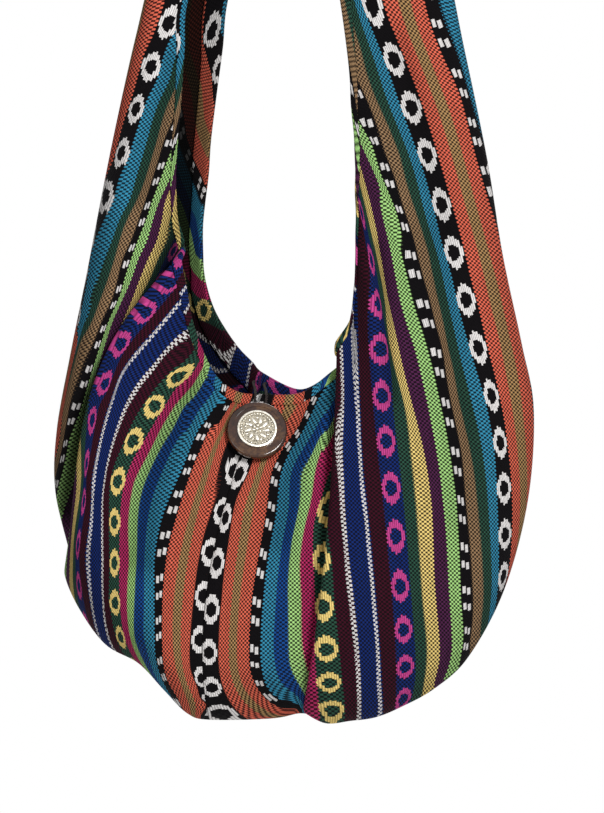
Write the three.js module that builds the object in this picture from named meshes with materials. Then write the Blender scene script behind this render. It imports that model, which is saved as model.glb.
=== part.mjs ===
import * as THREE from 'three';

// Hobo shoulder bag of striped hand-woven cotton, hanging by its own strap.
// The front looks to -Y and +Z is up. The origin is where the strap hangs, under its top fold.
// All sizes are in millimetres.

// Overall sizes of the hanging bag.
const bagWidth = 402;
const mouthHeight = 275;
const strapDrop = 563;
const bagDepth = 150;

// Cloth, seams and the bound edges of the mouth.
const clothThickness = 1.8;
const seamGap = 0.3;
const sewingGap = 0.3;
const bindingWidth = 9;
const hemWidth = 22;
const bindingThickness = 1.1;

// Button, its metal medallion and the cord loop that closes the mouth.
const buttonDiameter = 50;
const buttonThickness = 6.5;
const buttonEdge = 2.2;
const buttonBelowMouth = 36;
const medallionDiameter = 33;
const medallionThickness = 2.6;
const medallionRecess = 1.2;
const medallionRim = 2.2;
const shankDiameter = 6;
const shankLength = 5.4;
const loopDiameter = 2.6;
const fitGap = 0.3;

// How finely the cloth is divided: columns for each rib, rows on the front and on the back.
const columnsPerRib = 2;
const frontRows = 11;
const backRows = 8;

// The bag as it was measured. The ribs below are drawn on it, and the sizes above stretch them.
const measured = { width: 402, mouth: 275, drop: 563, depth: 150 };

// Ribs run round the bag from the centre seam over the right side, the strap and the left side.
// Each rib goes from the front edge of the mouth over the outer rim to the back edge:
// [front edge x, z], [outer rim x, z], [back edge x, z], [sideways sway, high and low],
// [front depth at the edge, belly], [back depth at the edge, belly].
const ribs = [
  // Centre seam.
  [[-29, 274], [-48, 3], [-29, 292], [8, -80], [17, 60], [4, 50]],
  [[3, 275], [-11, 4], [2, 278], [5, -49], [17, 60], [5, 52]],
  [[28, 292], [0, 8], [26, 289], [3, -25], [15, 58], [8, 56]],
  // Right tuck, turned under.
  [[45, 310], [8, 8], [37, 298], [5, -3], [8, 56], [11, 58]],
  // Right tuck, edge on top.
  [[34, 317], [6, 9], [45, 311], [7, 8], [27, 62], [13, 60]],
  [[46, 339], [24, 0], [50, 333], [5, 7], [26, 62], [15, 62]],
  [[50, 368], [45, 2], [55, 358], [3, 5], [23, 62], [17, 62]],
  [[51, 391], [66, 5], [56, 383], [2, 3], [21, 61], [18, 60]],
  [[51, 412], [88, 14], [57, 407], [0, 3], [20, 58], [19, 58]],
  [[51, 430], [115, 29], [57, 427], [0, 3], [19, 54], [19, 54]],
  [[50, 447], [143, 55], [56, 445], [0, 2], [18, 49], [19, 49]],
  [[50, 464], [173, 111], [55, 464], [0, 0], [18, 42], [18, 42]],
  [[49, 480], [193, 186], [55, 481], [0, 0], [18, 35], [18, 35]],
  [[48, 497], [198, 262], [54, 499], [0, 0], [17, 28], [18, 28]],
  [[46, 517], [188, 317], [52, 519], [0, 0], [17, 22], [17, 22]],
  [[45, 539], [172, 392], [50, 543], [0, 0], [17, 17], [17, 17]],
  [[42, 568], [159, 472], [48, 572], [0, 0], [16, 13], [16, 13]],
  [[37, 605], [140, 564], [44, 609], [0, 0], [16, 11], [16, 11]],
  [[28, 659], [120, 653], [35, 662], [0, 0], [17, 10], [17, 10]],
  [[17, 716], [85, 739], [22, 719], [0, 0], [19, 10], [19, 10]],
  [[9, 749], [46, 801], [12, 752], [0, 0], [22, 8], [22, 8]],
  // Top of the strap.
  [[-1, 761], [0, 838], [-1, 763], [0, 0], [24, 8], [24, 8]],
  [[-14, 751], [-43, 805], [-11, 749], [0, 0], [22, 8], [22, 8]],
  [[-36, 722], [-77, 741], [-26, 719], [0, 0], [19, 9], [20, 9]],
  [[-66, 665], [-113, 659], [-45, 662], [0, 0], [17, 9], [19, 10]],
  [[-92, 605], [-134, 578], [-60, 607], [0, 0], [17, 9], [20, 12]],
  [[-95, 564], [-150, 507], [-64, 568], [0, 0], [17, 10], [22, 15]],
  [[-97, 529], [-163, 443], [-69, 531], [0, 0], [18, 12], [24, 19]],
  [[-100, 494], [-176, 375], [-74, 491], [0, 0], [18, 15], [25, 24]],
  [[-102, 465], [-190, 306], [-76, 462], [0, 0], [17, 19], [25, 30]],
  [[-102, 442], [-201, 244], [-79, 438], [0, 0], [16, 23], [25, 36]],
  [[-101, 422], [-202, 193], [-81, 418], [0, 0], [13, 25], [25, 42]],
  // Left fold, turned under.
  [[-95, 400], [-189, 136], [-81, 396], [-25, -5], [6, 28], [24, 48]],
  // Left fold, edge on top.
  [[-97, 386], [-194, 124], [-80, 378], [-67, -10], [22, 52], [23, 52]],
  [[-93, 363], [-182, 96], [-76, 360], [-29, -18], [25, 60], [21, 54]],
  [[-89, 339], [-160, 66], [-70, 344], [-18, -25], [24, 64], [18, 55]],
  [[-81, 314], [-132, 50], [-60, 327], [-10, -34], [22, 66], [14, 54]],
  [[-68, 289], [-105, 27], [-49, 312], [0, -44], [20, 66], [10, 52]],
  [[-50, 276], [-77, 8], [-39, 302], [5, -60], [18, 63], [6, 50]],
].map((rib) => rib.flat());
const strapTopRib = 21;

// Stretching the measured bag to the sizes at the top.
const across = (x) => (x * bagWidth) / measured.width;
const through = (y) => (y * bagDepth) / measured.depth;
function upward(z) {
  const strapShare = (z - measured.mouth) / measured.drop;
  return z < measured.mouth ? (z * mouthHeight) / measured.mouth : mouthHeight + strapShare * strapDrop;
}

// Smooth curve through the same measure of neighbouring ribs.
function alongRibs(place, measure) {
  const whole = Math.floor(place);
  const part = place - whole;
  const [before, from, to, after] = [-1, 0, 1, 2].map((step) => {
    return ribs[(whole + step + ribs.length) % ribs.length][measure];
  });
  const bend = 2 * before - 5 * from + 4 * to - after;
  const twist = 3 * (from - to) + after - before;
  return from + 0.5 * part * (to - before + part * (bend + part * twist));
}

// Middle of the cloth. Place counts ribs, and turn goes from -1 at the front edge of the mouth
// through 0 at the outer rim to 1 at the back edge.
function clothPoint(place, turn) {
  const at = (measure) => alongRibs(place, measure);
  const isFront = turn < 0;
  const inward = 1 - Math.abs(turn);
  const reach = Math.sin((Math.PI / 2) * inward);
  const edgeX = at(isFront ? 0 : 4);
  const edgeZ = at(isFront ? 1 : 5);
  const high = 3 * reach * (1 - reach) ** 2;
  const low = 3 * reach ** 2 * (1 - reach);
  const sway = isFront ? high * at(6) + low * at(7) : 0;
  const edgeDepth = at(isFront ? 8 : 10);
  const belly = at(isFront ? 9 : 11);
  const depth = edgeDepth * Math.cos((Math.PI / 2) * inward) + belly * Math.sin(Math.PI * inward);
  return new THREE.Vector3(
    across(edgeX + (at(2) - edgeX) * reach + sway),
    through(isFront ? -depth : depth),
    upward(edgeZ + (at(3) - edgeZ) * reach),
  );
}

// Directions of the cloth at a point: along the ribs' order, from front edge to back edge, outward.
function clothFrame(place, turn) {
  const step = 0.004;
  const lowTurn = Math.max(turn - step, -1);
  const highTurn = Math.min(turn + step, 1);
  const along = clothPoint(place + step, turn).sub(clothPoint(place - step, turn)).normalize();
  const over = clothPoint(place, highTurn).sub(clothPoint(place, lowTurn)).normalize();
  const out = new THREE.Vector3().crossVectors(over, along).normalize();
  return { middle: clothPoint(place, turn), along, over, out };
}

// Share of the turn that a width measured from an edge of the mouth takes up.
function widthShare(place, edgeTurn, width) {
  const step = 0.02;
  const towardRim = edgeTurn * (1 - step);
  return (step * width) / clothPoint(place, edgeTurn).distanceTo(clothPoint(place, towardRim));
}

// Rows of the cloth at one place, with rows where the binding and the hem end.
function clothRows(place) {
  const frontStart = -1 + widthShare(place, -1, bindingWidth);
  const backEnd = 1 - widthShare(place, 1, hemWidth);
  const rows = [-1];
  for (let row = 0; row <= frontRows; row += 1) {
    rows.push(frontStart * (1 - row / frontRows));
  }
  for (let row = 1; row <= backRows; row += 1) {
    rows.push((backEnd * row) / backRows);
  }
  rows.push(1);
  return rows;
}

// Closed solid through a row of closed sections that have the same number of points.
function loft(sections, isRing, isFlipped) {
  const count = sections[0].length;
  const points = sections.flat();
  const positions = points.flatMap((point) => [point.x, point.y, point.z]);
  const faces = [];
  const addFace = (a, b, c) => faces.push(...(isFlipped ? [a, c, b] : [a, b, c]));
  const spans = isRing ? sections.length : sections.length - 1;
  for (let span = 0; span < spans; span += 1) {
    const here = span * count;
    const next = ((span + 1) % sections.length) * count;
    for (let side = 0; side < count; side += 1) {
      const after = (side + 1) % count;
      addFace(here + side, here + after, next + after);
      addFace(here + side, next + after, next + side);
    }
  }
  if (!isRing) {
    const last = (sections.length - 1) * count;
    for (let side = 0; side < count / 2 - 1; side += 1) {
      const facing = count - 1 - side;
      addFace(side, facing, side + 1);
      addFace(side + 1, facing, facing - 1);
      addFace(last + side, last + side + 1, last + facing);
      addFace(last + side + 1, last + facing - 1, last + facing);
    }
  }
  const geometry = new THREE.BufferGeometry();
  geometry.setAttribute('position', new THREE.Float32BufferAttribute(positions, 3));
  geometry.setIndex(faces);
  geometry.computeVertexNormals();
  return geometry;
}

// Section of the cloth at one place: outer face from front to back, then inner face to the front.
function clothSection(place, shift) {
  const outer = [];
  const inner = [];
  clothRows(place).forEach((turn) => {
    const { middle, along, out } = clothFrame(place, turn);
    middle.addScaledVector(along, shift);
    outer.push(middle.clone().addScaledVector(out, clothThickness / 2));
    inner.unshift(middle.clone().addScaledVector(out, -clothThickness / 2));
  });
  return [...outer, ...inner];
}

// One half of the cloth, from the seam at the first rib to the seam at the last one.
function panelGeometry(firstRib, lastRib) {
  const columns = (lastRib - firstRib) * columnsPerRib;
  const sections = [];
  for (let column = 0; column <= columns; column += 1) {
    const isFirst = column === 0;
    const isLast = column === columns;
    const shift = isFirst ? seamGap / 2 : isLast ? -seamGap / 2 : 0;
    sections.push(clothSection(firstRib + column / columnsPerRib, shift));
  }
  return loft(sections, false, false);
}

// Strip that is folded round an edge of the mouth all the way over the strap.
function edgeStripGeometry(edgeTurn, width) {
  const sections = [];
  const near = clothThickness / 2 + sewingGap;
  const far = near + bindingThickness;
  for (let column = 0; column < ribs.length * columnsPerRib; column += 1) {
    const place = column / columnsPerRib;
    const edge = clothFrame(place, edgeTurn);
    const end = clothFrame(place, edgeTurn * (1 - widthShare(place, edgeTurn, width)));
    const beyond = edge.over.clone().multiplyScalar(edgeTurn);
    const edgePoint = (reach, rise) => {
      return edge.middle.clone().addScaledVector(beyond, reach).addScaledVector(edge.out, rise);
    };
    const endPoint = (rise) => end.middle.clone().addScaledVector(end.out, rise);
    const section = [
      endPoint(far),
      edgePoint(0, far),
      edgePoint(sewingGap + bindingThickness, near * 0.6),
      edgePoint(sewingGap + bindingThickness, -near * 0.6),
      edgePoint(0, -far),
      endPoint(-far),
      endPoint(-near),
      edgePoint(sewingGap, -near),
      edgePoint(sewingGap, near),
      endPoint(near),
    ];
    sections.push(edgeTurn < 0 ? section : section.reverse());
  }
  return loft(sections, true, true);
}

// Round piece turned from a profile of [radius, height] points.
function turned(profile, segments) {
  const points = profile.map(([radius, height]) => new THREE.Vector2(radius, height));
  const geometry = new THREE.LatheGeometry(points, segments);
  geometry.rotateX(Math.PI / 2);
  return geometry;
}

function buttonGeometry() {
  const radius = buttonDiameter / 2;
  const pocket = medallionDiameter / 2 + fitGap;
  const floor = buttonThickness - medallionRecess;
  const shoulder = buttonThickness - 0.6;
  return turned([
    [0, 0],
    [radius - 5, 0],
    [radius - 1.2, 1.1],
    [radius, buttonEdge],
    [radius - 0.8, buttonEdge + 1.3],
    [radius - 3, shoulder - 0.7],
    [pocket + 1.5, buttonThickness],
    [pocket, buttonThickness],
    [pocket, floor],
    [0, floor],
  ], 48);
}

function medallionGeometry() {
  const radius = medallionDiameter / 2;
  const rimTop = medallionThickness;
  const fieldHeight = medallionThickness - 0.9;
  return turned([
    [0, 0],
    [radius, 0],
    [radius, rimTop - 0.5],
    [radius - 0.5, rimTop],
    [radius - medallionRim + 0.5, rimTop],
    [radius - medallionRim, fieldHeight],
    [radius * 0.55, fieldHeight + 0.5],
    [0, fieldHeight + 0.8],
  ], 48);
}

// Where the button is sewn: beside the centre seam, below the front edge of the mouth.
const buttonRib = -0.05;
const buttonSeat = clothFrame(buttonRib, -1 + widthShare(buttonRib, -1, buttonBelowMouth));
const shankBase = clothThickness / 2 + sewingGap;
const buttonBase = shankBase + shankLength + fitGap;
const medallionBase = buttonBase + buttonThickness - medallionRecess + fitGap;

function seatOnCloth(object, height) {
  const up = buttonSeat.over.clone().negate();
  const side = new THREE.Vector3().crossVectors(up, buttonSeat.out).normalize();
  up.crossVectors(buttonSeat.out, side);
  const turn = new THREE.Matrix4().makeBasis(side, up, buttonSeat.out);
  object.quaternion.setFromRotationMatrix(turn);
  object.position.copy(buttonSeat.middle).addScaledVector(buttonSeat.out, height);
  return object;
}

// Cord loop: out of the back hem, over the bound front edge and round the shank of the button.
function loopGeometry() {
  const loopRadius = loopDiameter / 2;
  const orbit = shankDiameter / 2 + loopRadius + fitGap;
  const lift = clothThickness / 2 + sewingGap + loopRadius + 0.6;
  const overBinding = clothThickness / 2 + sewingGap + bindingThickness + loopRadius + 1.4;
  const frontEdge = clothFrame(buttonRib, -1);
  const underBinding = clothFrame(buttonRib, -1 + widthShare(buttonRib, -1, bindingWidth * 0.6));
  const backHem = clothFrame(buttonRib, 1 - widthShare(buttonRib, 1, hemWidth * 0.3));
  const down = buttonSeat.over;
  const side = new THREE.Vector3().crossVectors(buttonSeat.out, down).normalize();
  const onSeat = (angle) => buttonSeat.middle.clone()
    .addScaledVector(side, orbit * Math.sin(angle))
    .addScaledVector(down, orbit * Math.cos(angle))
    .addScaledVector(buttonSeat.out, lift);
  const beside = (frame, rise, reach, sign) => frame.middle.clone()
    .addScaledVector(side, sign * orbit)
    .addScaledVector(frame.out, rise)
    .addScaledVector(frame.over, reach);
  const strand = (sign) => [
    beside(backHem, -(overBinding - loopRadius - 0.3), 0, sign),
    beside(backHem, -(overBinding + 3), 0, sign),
    beside(frontEdge, 0, -(sewingGap + bindingThickness + loopRadius + 2.2), sign),
    beside(frontEdge, overBinding, 0, sign),
    beside(underBinding, overBinding, 0, sign),
  ];
  const turns = [-1.5, -0.75, 0, 0.75, 1.5].map((angle) => onSeat(angle));
  const route = [...strand(-1), ...turns, ...strand(1).reverse()];
  const outline = new THREE.Shape().absarc(0, 0, loopRadius, 0, 2 * Math.PI);
  return new THREE.ExtrudeGeometry(outline, {
    steps: 44,
    curveSegments: 5,
    bevelEnabled: false,
    extrudePath: new THREE.CatmullRomCurve3(route),
  });
}

function addPiece(group, name, geometry, look) {
  const mesh = new THREE.Mesh(geometry, new THREE.MeshStandardMaterial(look));
  mesh.name = name;
  group.add(mesh);
  return mesh;
}

const wovenLook = { color: 0x5c4a58, roughness: 0.95, metalness: 0 };
const bindingLook = { color: 0x8a5648, roughness: 0.95, metalness: 0 };
const cordLook = { color: 0x2b1d1b, roughness: 0.8, metalness: 0 };
const buttonLook = { color: 0x4b352f, roughness: 0.3, metalness: 0 };
const medallionLook = { color: 0xb8b5aa, roughness: 0.3, metalness: 1 };

const bag = new THREE.Group();
addPiece(bag, 'right_panel', panelGeometry(0, strapTopRib), wovenLook);
addPiece(bag, 'left_panel', panelGeometry(strapTopRib, ribs.length), wovenLook);
addPiece(bag, 'front_binding', edgeStripGeometry(-1, bindingWidth), bindingLook);
addPiece(bag, 'back_hem', edgeStripGeometry(1, hemWidth), bindingLook);
addPiece(bag, 'closing_loop', loopGeometry(), cordLook);

const shankProfile = [
  [0, 0],
  [shankDiameter / 2, 0],
  [shankDiameter / 2, shankLength],
  [0, shankLength],
];
const shank = addPiece(bag, 'thread_shank', turned(shankProfile, 16), cordLook);
seatOnCloth(shank, shankBase);
seatOnCloth(addPiece(bag, 'button', buttonGeometry(), buttonLook), buttonBase);
seatOnCloth(addPiece(bag, 'medallion', medallionGeometry(), medallionLook), medallionBase);

// The bag hangs from the inside of the strap's top fold, which is the origin.
const hangingPoint = clothPoint(strapTopRib, 0);
hangingPoint.z -= clothThickness / 2;
bag.position.copy(hangingPoint).negate();

export default bag;
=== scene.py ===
import math
import bmesh
import bpy
import numpy as np
from mathutils import Matrix, Vector


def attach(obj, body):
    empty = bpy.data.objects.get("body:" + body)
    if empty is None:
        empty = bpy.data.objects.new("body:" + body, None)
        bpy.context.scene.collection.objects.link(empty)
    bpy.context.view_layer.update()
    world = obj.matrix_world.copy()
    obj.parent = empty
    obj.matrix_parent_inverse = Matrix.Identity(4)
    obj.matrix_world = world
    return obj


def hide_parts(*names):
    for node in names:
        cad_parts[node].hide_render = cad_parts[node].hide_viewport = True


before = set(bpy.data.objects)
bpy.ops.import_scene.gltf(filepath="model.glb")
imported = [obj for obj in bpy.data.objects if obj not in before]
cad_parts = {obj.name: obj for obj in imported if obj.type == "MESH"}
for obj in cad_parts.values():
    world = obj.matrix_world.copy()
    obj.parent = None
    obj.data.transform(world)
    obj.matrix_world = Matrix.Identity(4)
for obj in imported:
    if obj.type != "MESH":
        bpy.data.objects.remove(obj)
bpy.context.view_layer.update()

scene = bpy.context.scene

# The photograph's frame: pixels there, millimetres on the bag, origin where the strap hangs.
photo = {
    "height": 813,
    "middle": (302.0, 406.5),
    "mmPerPixel": 0.84,      # at the depth of the hanging point
    "distance": 3200.0,      # camera to the hanging point's plane
    "aim": (4.2, -572.1),    # x and z that the middle pixel sees
    "sensor": 36.0,
}


def pixelsOf(points):
    nearness = photo["distance"] / (photo["distance"] + points[..., 1]) / photo["mmPerPixel"]
    across = photo["middle"][0] + (points[..., 0] - photo["aim"][0]) * nearness
    down = photo["middle"][1] - (points[..., 2] - photo["aim"][1]) * nearness
    return np.stack([across, down], -1)


# Cloth of the bag. Ribs run round it from the centre seam over the right side, the strap and the
# left side: front edge x, z, outer rim x, z, back edge x, z, sideways sway high and low,
# front depth at the edge and belly, back depth at the edge and belly. Heights from the bottom.
cloth = {
    "thickness": 1.8,
    "seamGap": 0.3,
    "columnsPerRib": 10,
    "frontRows": 124,
    "backRows": 84,
    "rightTuck": 3.5,        # rib inside the tuck that parts the cloth on top from the cloth below
    "strapTop": 21,
    "leftFold": 32.5,
    "plainBack": ((2, 5), (31, 34)),      # ribs where the back has no tuck and no fold
}
ribs = np.array([
    (-29, 274, -48, 3, -29, 292, 8, -80, 17, 60, 4, 50),
    (3, 275, -11, 4, 2, 278, 5, -49, 17, 60, 5, 52),
    (28, 292, 0, 8, 26, 289, 3, -25, 15, 58, 8, 56),
    (45, 310, 8, 8, 37, 298, 5, -3, 8, 56, 11, 58),
    (34, 317, 6, 9, 45, 311, 7, 8, 27, 62, 13, 60),
    (46, 339, 24, 0, 50, 333, 5, 7, 26, 62, 15, 62),
    (50, 368, 45, 2, 55, 358, 3, 5, 23, 62, 17, 62),
    (51, 391, 66, 5, 56, 383, 2, 3, 21, 61, 18, 60),
    (51, 412, 88, 14, 57, 407, 0, 3, 20, 58, 19, 58),
    (51, 430, 115, 29, 57, 427, 0, 3, 19, 54, 19, 54),
    (50, 447, 143, 55, 56, 445, 0, 2, 18, 49, 19, 49),
    (50, 464, 173, 111, 55, 464, 0, 0, 18, 42, 18, 42),
    (49, 480, 193, 186, 55, 481, 0, 0, 18, 35, 18, 35),
    (48, 497, 198, 262, 54, 499, 0, 0, 17, 28, 18, 28),
    (46, 517, 188, 317, 52, 519, 0, 0, 17, 22, 17, 22),
    (45, 539, 172, 392, 50, 543, 0, 0, 17, 17, 17, 17),
    (42, 568, 159, 472, 48, 572, 0, 0, 16, 13, 16, 13),
    (37, 605, 140, 564, 44, 609, 0, 0, 16, 11, 16, 11),
    (28, 659, 120, 653, 35, 662, 0, 0, 17, 10, 17, 10),
    (17, 716, 85, 739, 22, 719, 0, 0, 19, 10, 19, 10),
    (9, 749, 46, 801, 12, 752, 0, 0, 22, 8, 22, 8),
    (-1, 761, 0, 838, -1, 763, 0, 0, 24, 8, 24, 8),
    (-14, 751, -43, 805, -11, 749, 0, 0, 22, 8, 22, 8),
    (-36, 722, -77, 741, -26, 719, 0, 0, 19, 9, 20, 9),
    (-66, 665, -113, 659, -45, 662, 0, 0, 17, 9, 19, 10),
    (-92, 605, -134, 578, -60, 607, 0, 0, 17, 9, 20, 12),
    (-95, 564, -150, 507, -64, 568, 0, 0, 17, 10, 22, 15),
    (-97, 529, -163, 443, -69, 531, 0, 0, 18, 12, 24, 19),
    (-100, 494, -176, 375, -74, 491, 0, 0, 18, 15, 25, 24),
    (-102, 465, -190, 306, -76, 462, 0, 0, 17, 19, 25, 30),
    (-102, 442, -201, 244, -79, 438, 0, 0, 16, 23, 25, 36),
    (-101, 422, -202, 193, -81, 418, 0, 0, 13, 25, 25, 42),
    (-95, 400, -189, 136, -81, 396, -25, -5, 6, 28, 24, 48),
    (-97, 386, -194, 124, -80, 378, -67, -10, 22, 52, 23, 52),
    (-93, 363, -182, 96, -76, 360, -29, -18, 25, 60, 21, 54),
    (-89, 339, -160, 66, -70, 344, -18, -25, 24, 64, 18, 55),
    (-81, 314, -132, 50, -60, 327, -10, -34, 22, 66, 14, 54),
    (-68, 289, -105, 27, -49, 312, 0, -44, 20, 66, 10, 52),
    (-50, 276, -77, 8, -39, 302, 5, -60, 18, 63, 6, 50),
], float)
hangHeight = ribs[cloth["strapTop"]][3] - cloth["thickness"] / 2
shownRibs = ribs.copy()
for rib, drift in ((0, (-73, -21, -30)), (1, (-22, -4, -36)), (38, (-91, -8, -40)), (37, (-110, -3, -40))):
    shownRibs[rib, [2, 6, 7]] = drift         # the seam drifts left under the button as it is sewn


def alongRibs(place, measure, table):
    whole = np.floor(place).astype(int)
    part = place - whole
    before, start, end, after = (table[(whole + step) % len(table), measure] for step in (-1, 0, 1, 2))
    bend = 2 * before - 5 * start + 4 * end - after
    twist = 3 * (start - end) + after - before
    return start + 0.5 * part * (end - before + part * (bend + part * twist))


def clothPoint(place, turn, table=shownRibs):      # turn: -1 front edge, 0 outer rim, 1 back edge
    place, turn = np.broadcast_arrays(np.asarray(place, float), np.asarray(turn, float))
    along = lambda measure: alongRibs(place, measure, table)
    isFront = turn < 0
    inward = 1 - np.abs(turn)
    reach = np.sin(math.pi / 2 * inward)
    pick = lambda front, back: np.where(isFront, along(front), along(back))
    edgeX, edgeZ = pick(0, 4), pick(1, 5)
    high, low = 3 * reach * (1 - reach) ** 2, 3 * reach ** 2 * (1 - reach)
    sway = np.where(isFront, high * along(6) + low * along(7), 0)
    depth = pick(8, 10) * np.cos(math.pi / 2 * inward) + pick(9, 11) * np.sin(math.pi * inward)
    x = edgeX + (along(2) - edgeX) * reach + sway
    z = edgeZ + (along(3) - edgeZ) * reach - hangHeight
    return np.stack([x, np.where(isFront, -depth, depth), z], -1)


def easeBetween(low, high, value):
    share = np.clip((value - low) / (high - low), 0, 1)
    return share * share * (3 - 2 * share)


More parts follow.
